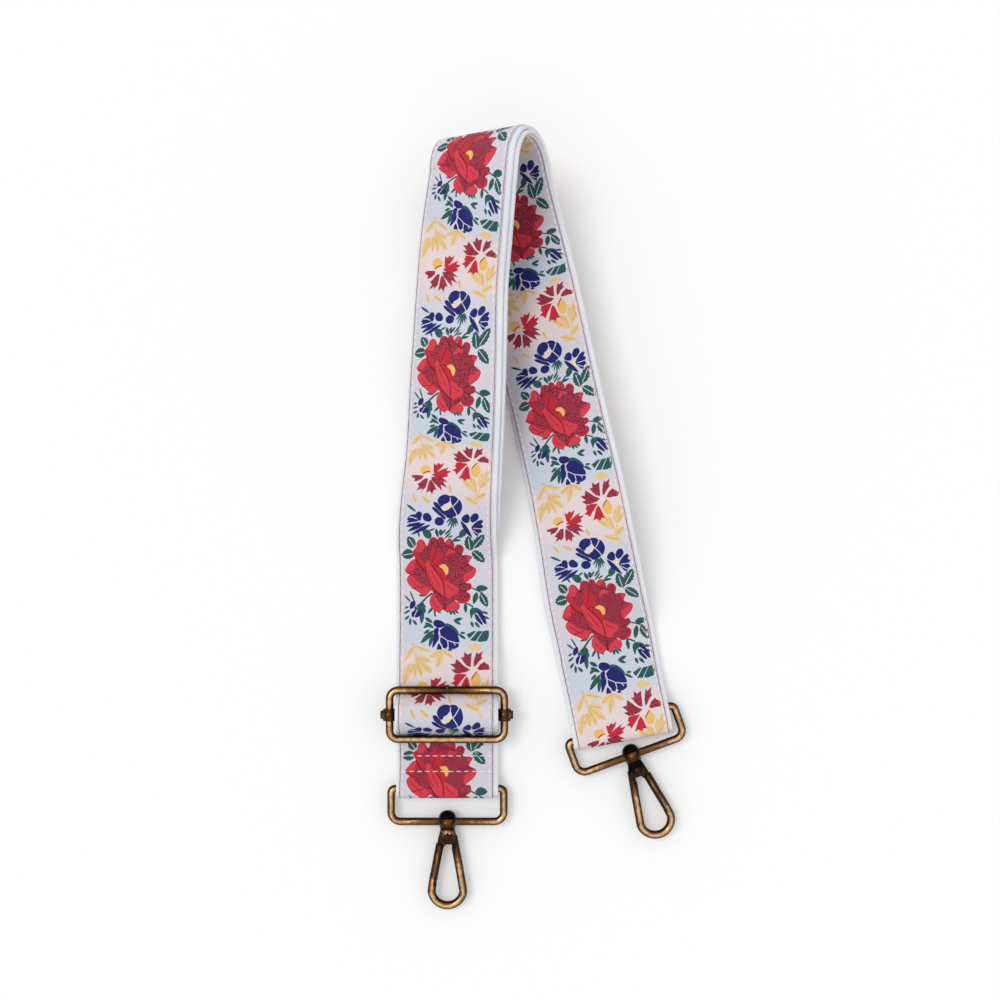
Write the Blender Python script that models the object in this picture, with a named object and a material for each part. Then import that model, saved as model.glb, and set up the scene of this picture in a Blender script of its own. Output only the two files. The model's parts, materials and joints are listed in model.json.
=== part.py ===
# Detachable bag strap: cotton webbing with a woven ribbon, doubled through a slider,
# with a swivel snap hook on a wire ring at each end, lying on a table.
# Metres, +Z up. X is across the strap, Y points from the hooks to the fold.

import math

import bmesh
import bpy
from mathutils import Matrix, Vector

MM = 0.001

# Webbing and ribbon
WEBBING_WIDTH = 50.0 * MM
WEBBING_THICKNESS = 1.6 * MM
RIBBON_INSET = 1.4 * MM     # webbing that shows beside each edge of the ribbon
RIBBON_THICKNESS = 0.6 * MM
SEW_GAP = 0.3 * MM          # between the ribbon and the webbing that it is sewn to
LAYER_GAP = 0.3 * MM        # between the two layers of the doubled strap
SPLIT_GAP = 0.3 * MM        # where one stretch of the strap ends and the next starts
EDGE_ROUND_SHARE = 0.3      # of the thickness, at the long edges
LAYER_THICKNESS = WEBBING_THICKNESS + SEW_GAP + RIBBON_THICKNESS
LAYER_PITCH = LAYER_THICKNESS + LAYER_GAP
WEBBING_OFFSET = -(LAYER_THICKNESS - WEBBING_THICKNESS) / 2
RIBBON_OFFSET = (LAYER_THICKNESS - RIBBON_THICKNESS) / 2

# Wire goods
WIRE_RADIUS = 1.9 * MM
BAR_SIDE_GAP = 0.75 * MM    # between a strap's edge and the ring's wire beside it
RING_INNER_WIDTH = WEBBING_WIDTH + 2 * BAR_SIDE_GAP
RING_DEPTH = 16.2 * MM      # from the bar in the fold to the bar with the swivel
RING_CORNER = 4.6 * MM
RING_BAR_CORNER = 2.2 * MM  # tighter beside the strap, so its bar is straight for the full width
BOSS_TOP_RADIUS = 4.5 * MM
BOSS_LOW_RADIUS = 3.7 * MM
BOSS_UP = 1.9 * MM
BOSS_DOWN = 3.0 * MM
RUNNING_GAP = 0.3 * MM      # between metal pieces that turn on each other
WRAP_GAP = 0.3 * MM         # between a bar and the strap round it

# Slider
SLIDER_DEPTH = 23.9 * MM    # between the axes of its two long bars
SLIDER_CENTRE = 41.9 * MM   # from the bottom edge of the sewn fold
SLIDER_SIDE_GAP = 1.0 * MM  # between the strap's edge and the slider's wire beside it
SLIDER_CORNER = 4.2 * MM
BUTT_GAP = 0.4 * MM
CENTRE_BAR_RADIUS = 1.6 * MM
EYE_BORE_GAP = 0.25 * MM
BAR_EYE_WALL = 1.1 * MM
BAR_EYE_LENGTH = 5.4 * MM
BAR_KNOB_RADIUS = 2.5 * MM
BAR_KNOB_TIP_RADIUS = 2.0 * MM
BAR_KNOB_REACH = 2.4 * MM   # beyond the side wire
BAR_LOOP_GAP = 0.5 * MM     # between the strap on the centre bar and the bar's eyes
SLIDER_HALF = WEBBING_WIDTH / 2 + SLIDER_SIDE_GAP + WIRE_RADIUS
BAR_EYE_RADIUS = WIRE_RADIUS + EYE_BORE_GAP + BAR_EYE_WALL
BAR_LOOP_WIDTH = 2 * (SLIDER_HALF - BAR_EYE_RADIUS - BAR_LOOP_GAP)

# Snap hook, measured from the gate's pivot down to the bottom of the eye
PIVOT_DROP = 7.3 * MM       # from the ring's lower bar to the pivot
EYE_RADIUS = 3.0 * MM       # raised rim round the pivot
HOOK_DROP = 25.9 * MM       # to the centre of the round bottom
HOOK_BEND = 7.9 * MM
HOOK_TOP_HALF = 2.9 * MM    # half the width between the arms' middle lines at the pivot
ARM_WIDTH = 4.0 * MM
ARM_THICKNESS = 4.2 * MM
PLATE_THICKNESS = 4.4 * MM
SHOULDER_CORNER = 0.8 * MM
NECK_SHARE = 0.75           # of the way from the pivot up to the swivel
EYE_THICKNESS = 5.0 * MM
TONGUE_THICKNESS = 1.2 * MM
SLOT_WIDTH = 3.0 * MM
PIN_RADIUS = 0.9 * MM
PIN_HEAD_RADIUS = 1.7 * MM
PIN_HEAD_HEIGHT = 0.5 * MM
SHANK_RADIUS = 1.6 * MM
CAP_RADIUS = 4.1 * MM
CAP_HEIGHT = 3.3 * MM
SHOULDER_RADIUS = 3.5 * MM
SHOULDER_DROP = 3.4 * MM    # below the pivot, where the gate starts
SHOULDER_HALF = 4.9 * MM    # half its width there
NOSE_TOP = 18.0 * MM        # below the pivot
NOSE_STEP = 5.0 * MM
NOSE_CLEARANCE = 0.8 * MM
GATE_TOP = 3.8 * MM
SPRING_WIRE = 0.18 * MM
SPRING_RADIUS = 1.5 * MM
SPRING_TURNS = 0.85
SPRING_LEG = 2.4 * MM
SPRING_LIFT = 0.12 * MM
SPRING_RISE = 0.3 * MM

# Lay of the strap on the table
SEWN_TAB = 25.0 * MM
SEWN_SPLIT = 22.0 * MM
SLIDER_TAB = 24.8 * MM      # of the strap's end, sewn back above the centre bar
SPLIT_MARGIN = 2.5 * MM     # past the tab, where its stretch ends
SLIDER_TAB_END = SLIDER_CENTRE + SLIDER_TAB
BAR_LOOP_SPLIT = SLIDER_TAB_END + SPLIT_MARGIN
TAB_JOIN = 10.0 * MM        # past the centre bar, where its tab lies flat
TAB_FORK = 2.5 * MM         # how much nearer the bar the layer under the tab starts to rise
HUMP_FOOT = 18.0 * MM       # past the tab's end, where the outer layer is flat again
LEG_LENGTH = 316.0 * MM     # from the sewn fold's edge to the top of the big fold
LEFT_FLAT_SHARE = 0.373418  # of the leg, that lies flat
LEFT_FLAT_END = LEFT_FLAT_SHARE * LEG_LENGTH
FOLD_DEPTH = 22.2 * MM
FOLD_HALF = 15.1 * MM
RIGHT_END_X = 86.6 * MM
RIGHT_END_Y = 27.8 * MM
RIGHT_LEAN = math.radians(11.1)
RIGHT_SKEW = math.radians(9.0)
RIGHT_FLAT = 50.0 * MM
RIGHT_PINCH = 0.8 * MM      # how much narrower the strap is round its slanting bar
LOOP_OPEN = 16.0 * MM       # how far the right loop stays open for its slanting bar
LOOP_CLOSED = 33.0 * MM
BIG_FOLD_TILT = math.radians(34.0)
SIDE_SLIP = 0.6 * MM        # of each layer of the doubled strap from their middle, past the ends
SLIP_FADE_SHARE = 0.08      # of the curved route, over which the slip fades in and out

# Left leg between the flat stretch and the fold: x and y as shares of the leg,
# turn and tilt of the strap's width in degrees, lift as a share of the fold's depth
LEFT_ROUTE_SHARES = [
    (0.0000, 0.405, -0.3, 6.0, 0.00),
    (0.0039, 0.462, -0.8, 15.5, 0.01),
    (0.0098, 0.530, -1.5, 22.5, 0.04),
    (0.0168, 0.652, -3.0, 26.6, 0.39),
    (0.0245, 0.800, -4.5, 32.4, 0.46),
]
# Right leg from the fold down to its flat end, always with its low edge on the table
RIGHT_ROUTE_SHARES = [
    (0.1322, 0.760, 12.5, 24.4),
    (0.1725, 0.584, 12.5, 27.1),
    (0.1943, 0.490, 12.0, 24.8),
    (0.2119, 0.399, 11.5, 21.0),
    (0.2269, 0.316, 11.1, 11.3),
]
FOLD_CENTRE_SHARES = (0.069, 0.9306)
FOLD_WAY_SHARES = (-0.06, 0.99, 0.10)  # direction in which the fold points
FOLD_ARC_DEG = (14.0, 166.0)
TABLE_MARGIN = 0.65 * MM     # under the low edge of the curved stretches
FOLD_TURN_DEG = (-8.6, 4.2)
FOLD_TILT_DEG = (38.3, 36.7)
FOLD_LIFT_SHARE = 0.785     # fold's axis above its resting height, as a share of its half height

TAB_CLOSED = 16.0 * MM      # where the sewn end's two layers meet above the ring
SKEW_MARGIN = 0.1 * MM      # between the low end of the slanting bar and the loop's bottom
SOFT_BEND = 12.0 * MM
FIRM_BEND = 4.0 * MM

# Small sizes and counts
CUT_OVERRUN = 1.0 * MM
SLOT_BACK = 2.2 * MM
SLOT_ROOF = 2.2 * MM
TONGUE_RADIUS = 1.8 * MM
TONGUE_TIP_SHARE = 0.7
HEAD_CROWN_SHARE = 0.7
CAP_ARC_DEG = 80.0
BEND_START_DEG = -8.0
ROUND_STEPS = 12
TUBE_SIDES = 12
WIRE_SIDES = 6
STRAP_COLUMNS = 5
FOLD_STOPS = 10
CORNER_STEPS = 6
CAP_STEPS = 5
SPRING_STEPS_PER_TURN = 14
STATION_STEP = 8.0 * MM
SHORTEST_RUN = 0.01 * MM
BEND_STEP = math.radians(18)
ANGLE_SLACK = 1e-6
ROUNDING_SLACK = 1e-6

WEBBING_LOOK = ((0.82, 0.82, 0.84), 0.85, 0.0)
RIBBON_LOOK = ((0.80, 0.62, 0.66), 0.6, 0.0)
BRASS_LOOK = ((0.35, 0.24, 0.13), 0.35, 1.0)
STEEL_LOOK = ((0.55, 0.55, 0.56), 0.3, 1.0)


def clear_scene():
    for old in list(bpy.data.objects):
        bpy.data.objects.remove(old, do_unlink=True)
    for old in list(bpy.data.meshes):
        bpy.data.meshes.remove(old)


def material(name, colour, roughness, metallic):
    mat = bpy.data.materials.new(name)
    mat.use_nodes = True
    shader = mat.node_tree.nodes["Principled BSDF"]
    shader.inputs["Base Color"].default_value = (*colour, 1.0)
    shader.inputs["Roughness"].default_value = roughness
    shader.inputs["Metallic"].default_value = metallic
    mat.diffuse_color = (*colour, 1.0)
    return mat


def make_object(name, verts, faces, look, matrix=None, smooth=False):
    mesh = bpy.data.meshes.new(name)
    mesh.from_pydata([tuple(v) for v in verts], [], faces)
    bm = bmesh.new()
    bm.from_mesh(mesh)
    bmesh.ops.recalc_face_normals(bm, faces=bm.faces)
    bm.to_mesh(mesh)
    bm.free()
    for face in mesh.polygons:
        face.use_smooth = smooth
    obj = bpy.data.objects.new(name, mesh)
    bpy.context.collection.objects.link(obj)
    if matrix is not None:
        obj.matrix_world = matrix
    if look is not None:
        colour, roughness, metallic = look
        mesh.materials.append(material(name + "_finish", colour, roughness, metallic))
    return obj


def apply_boolean(target, cutter, operation):
    modifier = target.modifiers.new("cut", "BOOLEAN")
    modifier.object = cutter
    modifier.operation = operation
    modifier.solver = "EXACT"
    bpy.context.view_layer.update()
    depsgraph = bpy.context.evaluated_depsgraph_get()
    result = bpy.data.meshes.new_from_object(target.evaluated_get(depsgraph))
    target.modifiers.remove(modifier)
    old = target.data
    target.data = result
    bpy.data.meshes.remove(old)
    bpy.data.objects.remove(cutter, do_unlink=True)


def sweep(sections, closed=False):
    """Vertices and triangles of a tube: one list of section corners for each station."""
    count = len(sections[0])
    verts = [corner for section in sections for corner in section]
    faces = []
    rings = len(sections)
    last = rings if closed else rings - 1
    for ring in range(last):
        after = (ring + 1) % rings
        for side in range(count):
            beside = (side + 1) % count
            near, far = ring * count, after * count
            faces.append((near + side, near + beside, far + beside))
            faces.append((near + side, far + beside, far + side))
    if not closed:
        faces.append(tuple(range(count)))
        faces.append(tuple((rings - 1) * count + side for side in reversed(range(count))))
    return verts, faces


def oval_section(centre, across, through, half_width, half_thickness):
    corners = []
    for side in range(TUBE_SIDES):
        angle = 2 * math.pi * side / TUBE_SIDES
        corners.append(centre + across * (half_width * math.cos(angle))
                       + through * (half_thickness * math.sin(angle)))
    return corners


def flat_path_tube(path, half_width, half_thickness, closed=False):
    """Tube of oval section along a path in the XY plane."""
    up = Vector((0, 0, 1))
    sections = []
    count = len(path)
    for index, point in enumerate(path):
        before = path[(index - 1) % count] if closed or index > 0 else point
        after = path[(index + 1) % count] if closed or index < count - 1 else point
        along = (after - before).normalized()
        across = along.cross(up)
        sections.append(oval_section(point, across, up, half_width, half_thickness))
    return sweep(sections, closed)


def cylinder(radius, start, end, steps=2 * ROUND_STEPS, end_radius=None):
    """Closed cylinder or cone between two points."""
    along = (end - start).normalized()
    helper = Vector((1, 0, 0)) if abs(along.x) < math.cos(math.radians(45)) else Vector((0, 1, 0))
    across = along.cross(helper).normalized()
    through = along.cross(across)
    last = radius if end_radius is None else end_radius
    verts = []
    for centre, size in ((start, radius), (end, last)):
        for step in range(steps):
            angle = 2 * math.pi * step / steps
            verts.append(centre + across * (size * math.cos(angle))
                         + through * (size * math.sin(angle)))
    faces = [tuple(range(steps)), tuple(steps + step for step in reversed(range(steps)))]
    for step in range(steps):
        beside = (step + 1) % steps
        faces.append((step, beside, steps + beside, steps + step))
    return verts, faces


def box(low, high):
    verts = [Vector((x, y, z)) for x in (low[0], high[0])
             for y in (low[1], high[1]) for z in (low[2], high[2])]
    faces = [(0, 1, 3, 2), (4, 6, 7, 5), (0, 4, 5, 1), (2, 3, 7, 6), (0, 2, 6, 4), (1, 5, 7, 3)]
    return verts, faces


def revolve(profile, steps=2 * ROUND_STEPS):
    """Solid turned about the Y axis from (y, radius) pairs, ends closed by flat discs."""
    verts = []
    for height, radius in profile:
        for step in range(steps):
            angle = 2 * math.pi * step / steps
            verts.append(Vector((radius * math.cos(angle), height, radius * math.sin(angle))))
    faces = [tuple(range(steps))]
    for ring in range(len(profile) - 1):
        for step in range(steps):
            beside = (step + 1) % steps
            faces.append((ring * steps + step, ring * steps + beside,
                          (ring + 1) * steps + beside, (ring + 1) * steps + step))
    base = (len(profile) - 1) * steps
    faces.append(tuple(base + step for step in reversed(range(steps))))
    return verts, faces


# Paths in a side view: y to the right, z up

def belt(circles):
    """Taut line round circles (y, z, radius, turn); turn 1 is anticlockwise, -1 clockwise.

    The first and last entries are plain points with radius zero.
    """
    tangents = []
    for (y0, z0, r0, s0), (y1, z1, r1, s1) in zip(circles, circles[1:]):
        start, end = r0 * s0, r1 * s1
        run_y, run_z = y1 - y0, z1 - z0
        swing = math.asin((start - end) / math.hypot(run_y, run_z))
        heading = math.atan2(run_z, run_y) + swing
        side_y, side_z = math.sin(heading), -math.cos(heading)
        tangents.append(((y0 + start * side_y, z0 + start * side_z),
                         (y1 + end * side_y, z1 + end * side_z), heading))
    path = [tangents[0][0]]
    for index, (y, z, radius, turn) in enumerate(circles[1:-1]):
        heading_in = tangents[index][2]
        bend = tangents[index + 1][2] - heading_in
        while turn * bend < -ANGLE_SLACK:
            bend += turn * 2 * math.pi
        while turn * bend > 2 * math.pi - ANGLE_SLACK:
            bend -= turn * 2 * math.pi
        steps = max(1, math.ceil(abs(bend) / BEND_STEP))
        for step in range(steps + 1):
            heading = heading_in + bend * step / steps
            path.append((y + turn * radius * math.sin(heading), z - turn * radius * math.cos(heading)))
    path.append(tangents[-1][1])
    return path


def spaced(path, step=STATION_STEP):
    """The path with long straight runs cut up."""
    points = [path[0]]
    for start, end in zip(path, path[1:]):
        length = math.dist(start, end)
        if length < SHORTEST_RUN:
            continue
        cuts = max(1, math.ceil(length / step))
        for cut in range(1, cuts + 1):
            share = cut / cuts
            points.append(tuple(a + (b - a) * share for a, b in zip(start, end)))
    return points


# Stations: (point, width direction, floral direction)

def side_view_stations(path, origin, along):
    """Stations of a side-view path whose width lies across its leg; the ribbon is on its left."""
    across = along.cross(UP)
    stations = []
    count = len(path)
    for index, (y, z) in enumerate(path):
        before = path[max(index - 1, 0)]
        after = path[min(index + 1, count - 1)]
        run = along * (after[0] - before[0]) + UP * (after[1] - before[1])
        run.normalize()
        stations.append((origin + along * y + UP * z, across, across.cross(run)))
    return stations


def smooth_route(stops, step=STATION_STEP):
    """Smooth curve through (point, turn, tilt) stops, with the width direction on it."""
    values = [(*point, turn, tilt) for point, turn, tilt in stops]
    dense = []
    for index in range(len(values) - 1):
        before = values[max(index - 1, 0)]
        start, end = values[index], values[index + 1]
        after = values[min(index + 2, len(values) - 1)]
        chord = math.dist(start[:3], end[:3])
        back = math.dist(before[:3], start[:3]) or chord
        front = math.dist(end[:3], after[:3]) or chord
        cuts = max(1, math.ceil(chord / step - ROUNDING_SLACK))
        for cut in range(cuts):
            share = cut / cuts
            point = []
            for b, s, e, a in zip(before, start, end, after):
                slope_in = ((s - b) / back * chord + (e - s)) / 2 if index > 0 else e - s
                slope_out = ((a - e) / front * chord + (e - s)) / 2 if index < len(values) - 2 else e - s
                h00 = 2 * share ** 3 - 3 * share ** 2 + 1
                h10 = share ** 3 - 2 * share ** 2 + share
                h01 = 3 * share ** 2 - 2 * share ** 3
                h11 = share ** 3 - share ** 2
                point.append(h00 * s + h10 * slope_in + h01 * e + h11 * slope_out)
            dense.append(tuple(point))
    dense.append(values[-1])
    stations = []
    count = len(dense)
    for index, row in enumerate(dense):
        before = Vector(dense[max(index - 1, 0)][:3])
        after = Vector(dense[min(index + 1, count - 1)][:3])
        run = (after - before).normalized()
        turn, tilt = math.radians(row[3]), math.radians(row[4])
        width = Vector((math.cos(tilt) * math.cos(turn), math.cos(tilt) * math.sin(turn), math.sin(tilt)))
        width = (width - run * width.dot(run)).normalized()
        stations.append((Vector(row[:3]), width, width.cross(run)))
    return stations


def resting_height(tilt_deg):
    """Height of the stack's middle when its low edge lies on the table."""
    tilt = math.radians(tilt_deg)
    low_edge = WEBBING_WIDTH / 2 + SIDE_SLIP
    return low_edge * math.sin(tilt) + STACK_HALF * math.cos(tilt) + TABLE_MARGIN


STACK_HALF = (2 * LAYER_THICKNESS + LAYER_GAP) / 2
INNER_Z = LAYER_THICKNESS / 2
OUTER_Z = INNER_Z + LAYER_PITCH
RING_WRAP = WIRE_RADIUS + WRAP_GAP + LAYER_THICKNESS / 2
RING_AXIS = WIRE_RADIUS + WRAP_GAP + LAYER_THICKNESS
BAR_WRAP = CENTRE_BAR_RADIUS + WRAP_GAP + LAYER_THICKNESS / 2
OVER_TAB_Z = OUTER_Z + LAYER_PITCH
SLIDER_AXIS_Z = OVER_TAB_Z + LAYER_THICKNESS / 2 + WRAP_GAP + WIRE_RADIUS
BOTTOM_BAR_Y = SLIDER_CENTRE - SLIDER_DEPTH / 2
TOP_BAR_Y = SLIDER_CENTRE + SLIDER_DEPTH / 2
RIGHT_LOOP_WIDTH = WEBBING_WIDTH - RIGHT_PINCH
RIGHT_BAR_REACH = RING_AXIS + RIGHT_LOOP_WIDTH / 2 * math.sin(RIGHT_SKEW) + SKEW_MARGIN
ORIGIN = Vector((0, 0, 0))
ALONG_Y = Vector((0, 1, 0))
UP = Vector((0, 0, 1))


def stack_route():
    """Middle of the doubled strap from the left leg's flat end over the fold to the right leg's."""
    def lay(x_share, y_share):
        return x_share * LEG_LENGTH, y_share * LEG_LENGTH
    fold_x, fold_y = lay(*FOLD_CENTRE_SHARES)
    fold_z = resting_height(FOLD_TILT_DEG[1]) + FOLD_LIFT_SHARE * FOLD_HALF
    stops = [((0, LEFT_FLAT_END - STATION_STEP, STACK_HALF), 0, 0),
             ((0, LEFT_FLAT_END, STACK_HALF), 0, 0)]
    for x_share, y_share, turn, slant, lift_share in LEFT_ROUTE_SHARES:
        x, y = lay(x_share, y_share)
        z = resting_height(slant) + lift_share * FOLD_DEPTH
        stops.append(((x, y, z), turn, slant))
    way = Vector(FOLD_WAY_SHARES)
    outward = Vector((-math.sin(BIG_FOLD_TILT), 0, math.cos(BIG_FOLD_TILT)))
    centre = Vector((fold_x, fold_y, fold_z))
    for step in range(FOLD_STOPS + 1):
        share = step / FOLD_STOPS
        angle = math.radians(FOLD_ARC_DEG[0] + (FOLD_ARC_DEG[1] - FOLD_ARC_DEG[0]) * share)
        point = (centre + outward * (FOLD_HALF * math.cos(angle))
                 + way * (FOLD_DEPTH * math.sin(angle)))
        turn = FOLD_TURN_DEG[0] + (FOLD_TURN_DEG[1] - FOLD_TURN_DEG[0]) * share
        slant = FOLD_TILT_DEG[0] + (FOLD_TILT_DEG[1] - FOLD_TILT_DEG[0]) * share
        stops.append((tuple(point), turn, slant))
    for x_share, y_share, turn, slant in RIGHT_ROUTE_SHARES:
        x, y = lay(x_share, y_share)
        stops.append(((x, y, resting_height(slant)), turn, slant))
    lean = math.degrees(RIGHT_LEAN)
    for reach in (RIGHT_FLAT, RIGHT_FLAT - STATION_STEP):
        point = RIGHT_END + RIGHT_UP * reach
        stops.append(((point.x, point.y, STACK_HALF), lean, 0))
    return smooth_route(stops)


RIGHT_END = Vector((RIGHT_END_X, RIGHT_END_Y, 0))
RIGHT_UP = Vector((-math.sin(RIGHT_LEAN), math.cos(RIGHT_LEAN), 0))


def strap_solid(name, stations, width, thickness, offset, look):
    """One stretch of webbing or ribbon as a closed solid with softened long edges."""
    soft = EDGE_ROUND_SHARE * thickness
    half_w, half_t = width / 2, thickness / 2
    inside = [half_w * (2 * column / STRAP_COLUMNS - 1) for column in range(1, STRAP_COLUMNS)]
    outline = [(-half_w, -half_t + soft), (-half_w, half_t - soft), (-half_w + soft, half_t)]
    outline += [(u, half_t) for u in inside]
    outline += [(half_w - soft, half_t), (half_w, half_t - soft), (half_w, -half_t + soft),
                (half_w - soft, -half_t)]
    outline += [(u, -half_t) for u in reversed(inside)]
    outline.append((-half_w + soft, -half_t))
    sections = []
    for point, across, floral in stations:
        centre = point + floral * offset
        sections.append([centre + across * u + floral * v for u, v in outline])
    return make_object(name, *sweep(sections), look, smooth=True)


def trimmed(stations):
    """Stations with half a split gap cut off at each end."""
    result = list(stations)
    for end, beside in ((0, 1), (-1, -2)):
        point, across, floral = result[end]
        near = result[beside][0]
        result[end] = (point + (near - point).normalized() * (SPLIT_GAP / 2), across, floral)
    return result


def route_layer(route, way):
    """One layer of the doubled strap; way is 1 outside and -1 inside the big fold."""
    last = len(route) - 1
    layer = []
    for index, (point, across, out) in enumerate(route):
        fade = min(1, index / last / SLIP_FADE_SHARE, (last - index) / last / SLIP_FADE_SHARE)
        aside = across * (-way * SIDE_SLIP * fade)
        layer.append((point + out * (way * LAYER_PITCH / 2) + aside, across, out * way))
    return layer


def strap_stretches():
    """Every stretch of the one long strap, in order from the sewn end to the slider's bar."""
    left_end = LEFT_FLAT_END - STATION_STEP
    right_end = RIGHT_FLAT - STATION_STEP
    route = stack_route()
    sewn = [
        (SEWN_TAB, INNER_Z, 0, 1),
        (RING_AXIS, RING_AXIS, RING_WRAP, -1),
        (TAB_CLOSED, OUTER_Z + FIRM_BEND, FIRM_BEND, 1),
        (SEWN_SPLIT, OUTER_Z, 0, 1),
    ]
    humped = [
        (SEWN_SPLIT, OUTER_Z, 0, 1),
        (SEWN_SPLIT + SPLIT_GAP, OUTER_Z + FIRM_BEND, FIRM_BEND, 1),
        (BOTTOM_BAR_Y, SLIDER_AXIS_Z, RING_WRAP, 1),
        (SLIDER_CENTRE, SLIDER_AXIS_Z, BAR_WRAP + LAYER_PITCH, -1),
        (TOP_BAR_Y, SLIDER_AXIS_Z, RING_WRAP, 1),
        (SLIDER_TAB_END + WRAP_GAP, OVER_TAB_Z - SOFT_BEND, SOFT_BEND, -1),
        (SLIDER_TAB_END + HUMP_FOOT, OUTER_Z + SOFT_BEND, SOFT_BEND, 1),
        (left_end, OUTER_Z, 0, 1),
    ]
    looped = [
        (right_end, INNER_Z, 0, 1),
        (RING_AXIS, RING_AXIS, RING_WRAP, -1),
        (LOOP_OPEN, RING_AXIS + RING_WRAP - SOFT_BEND, SOFT_BEND, -1),
        (LOOP_CLOSED, OUTER_Z + SOFT_BEND, SOFT_BEND, 1),
        (right_end, OUTER_Z, 0, 1),
    ]
    plain = [(left_end, INNER_Z), (BAR_LOOP_SPLIT, INNER_Z)]
    wrapped = [
        (BAR_LOOP_SPLIT, INNER_Z, 0, 1),
        (SLIDER_CENTRE + TAB_JOIN - TAB_FORK, INNER_Z + FIRM_BEND, FIRM_BEND, -1),
        (SLIDER_CENTRE, SLIDER_AXIS_Z, BAR_WRAP, -1),
        (SLIDER_CENTRE + TAB_JOIN, OUTER_Z + FIRM_BEND, FIRM_BEND, 1),
        (SLIDER_TAB_END, OUTER_Z, 0, 1),
    ]
    return {
        "sewn_end": side_view_stations(spaced(belt(sewn)), ORIGIN, ALONG_Y),
        "slider_run": side_view_stations(spaced(belt(humped)), ORIGIN, ALONG_Y),
        "over_fold": route_layer(route, 1),
        "right_loop": side_view_stations(spaced(belt(looped)), RIGHT_END, RIGHT_UP),
        "inner_fold": route_layer(route, -1),
        "inner_run": side_view_stations(spaced(plain), ORIGIN, ALONG_Y),
        "bar_loop": side_view_stations(spaced(belt(wrapped)), ORIGIN, ALONG_Y),
    }


def build_strap():
    """Webbing and ribbon, each in the stretches that the slider's motion needs."""
    narrow = {"bar_loop": BAR_LOOP_WIDTH, "right_loop": RIGHT_LOOP_WIDTH}
    for stretch, stations in strap_stretches().items():
        width = narrow.get(stretch, WEBBING_WIDTH)
        piece = trimmed(stations)
        strap_solid("webbing_" + stretch, piece, width, WEBBING_THICKNESS, WEBBING_OFFSET, WEBBING_LOOK)
        strap_solid("ribbon_" + stretch, piece, width - 2 * RIBBON_INSET, RIBBON_THICKNESS,
                    RIBBON_OFFSET, RIBBON_LOOK)


# Wire ring with its drilled boss

def rounded_rectangle(half_width, low, high, low_corner, high_corner):
    """Middle line of a wire rectangle, anticlockwise from the lower left corner."""
    path = []
    corners = [(-half_width + low_corner, low + low_corner, 180, low_corner),
               (half_width - low_corner, low + low_corner, 270, low_corner),
               (half_width - high_corner, high - high_corner, 0, high_corner),
               (-half_width + high_corner, high - high_corner, 90, high_corner)]
    for x, y, first, corner in corners:
        for step in range(CORNER_STEPS + 1):
            angle = math.radians(first + 90 * step / CORNER_STEPS)
            path.append(Vector((x + corner * math.cos(angle), y + corner * math.sin(angle), 0)))
    return path


def add_union(target, verts, faces):
    tool = make_object("tool", verts, faces, None)
    tool.matrix_world = target.matrix_world
    apply_boolean(target, tool, "UNION")


def add_cut(target, verts, faces):
    tool = make_object("tool", verts, faces, None)
    tool.matrix_world = target.matrix_world
    apply_boolean(target, tool, "DIFFERENCE")


def build_ring(name, place):
    half = RING_INNER_WIDTH / 2 + WIRE_RADIUS
    path = rounded_rectangle(half, -RING_DEPTH, 0, RING_CORNER, RING_BAR_CORNER)
    verts, faces = flat_path_tube(path, WIRE_RADIUS, WIRE_RADIUS, closed=True)
    ring = make_object(name, verts, faces, BRASS_LOOK, place, smooth=True)
    low = Vector((0, -RING_DEPTH - BOSS_DOWN, 0))
    high = Vector((0, -RING_DEPTH + BOSS_UP, 0))
    add_union(ring, *cylinder(BOSS_LOW_RADIUS, low, high, end_radius=BOSS_TOP_RADIUS))
    reach = Vector((0, CUT_OVERRUN, 0))
    add_cut(ring, *cylinder(SHANK_RADIUS + RUNNING_GAP, low - reach, high + reach))
    return ring


# Snap hook: body with riveted shank, gate, pin and spring

def arm_point(side, drop):
    """Middle line of an arm, below the pivot: it opens evenly to the round bottom."""
    share = drop / HOOK_DROP
    return Vector((side * (HOOK_TOP_HALF + (HOOK_BEND - HOOK_TOP_HALF) * share), -drop, 0))


def hook_path():
    path = [arm_point(1, 0), arm_point(1, HOOK_DROP / 2)]
    for step in range(2 * ROUND_STEPS + 1):
        angle = math.radians(BEND_START_DEG) - (math.pi + 2 * math.radians(BEND_START_DEG)) * (
            step / (2 * ROUND_STEPS))
        path.append(Vector((HOOK_BEND * math.cos(angle), -HOOK_DROP + HOOK_BEND * math.sin(angle), 0)))
    path.append(arm_point(-1, (NOSE_TOP + HOOK_DROP) / 2))
    path.append(arm_point(-1, NOSE_TOP))
    return path


def nose_cutter(for_gate):
    """Block that leaves the nose the outer half of the arm, or the gate's tip the inner half."""
    middle = arm_point(-1, NOSE_TOP + NOSE_STEP / 2).x
    reach = ARM_WIDTH
    if for_gate:
        return box((middle - reach, -NOSE_TOP - NOSE_STEP - CUT_OVERRUN, -reach),
                   (middle + RUNNING_GAP, -NOSE_TOP + NOSE_CLEARANCE, reach))
    return box((middle, -NOSE_TOP - NOSE_STEP, -reach),
               (middle + reach, -NOSE_TOP + CUT_OVERRUN, reach))


def prism(outline, half):
    """Flat plate of an outline in the XY plane, as thick as twice the half."""
    count = len(outline)
    verts = [p - UP * half for p in outline] + [p + UP * half for p in outline]
    faces = [tuple(range(count)), tuple(count + i for i in reversed(range(count)))]
    for index in range(count):
        beside = (index + 1) % count
        faces.append((index, beside, count + beside, count + index))
    return verts, faces


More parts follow.
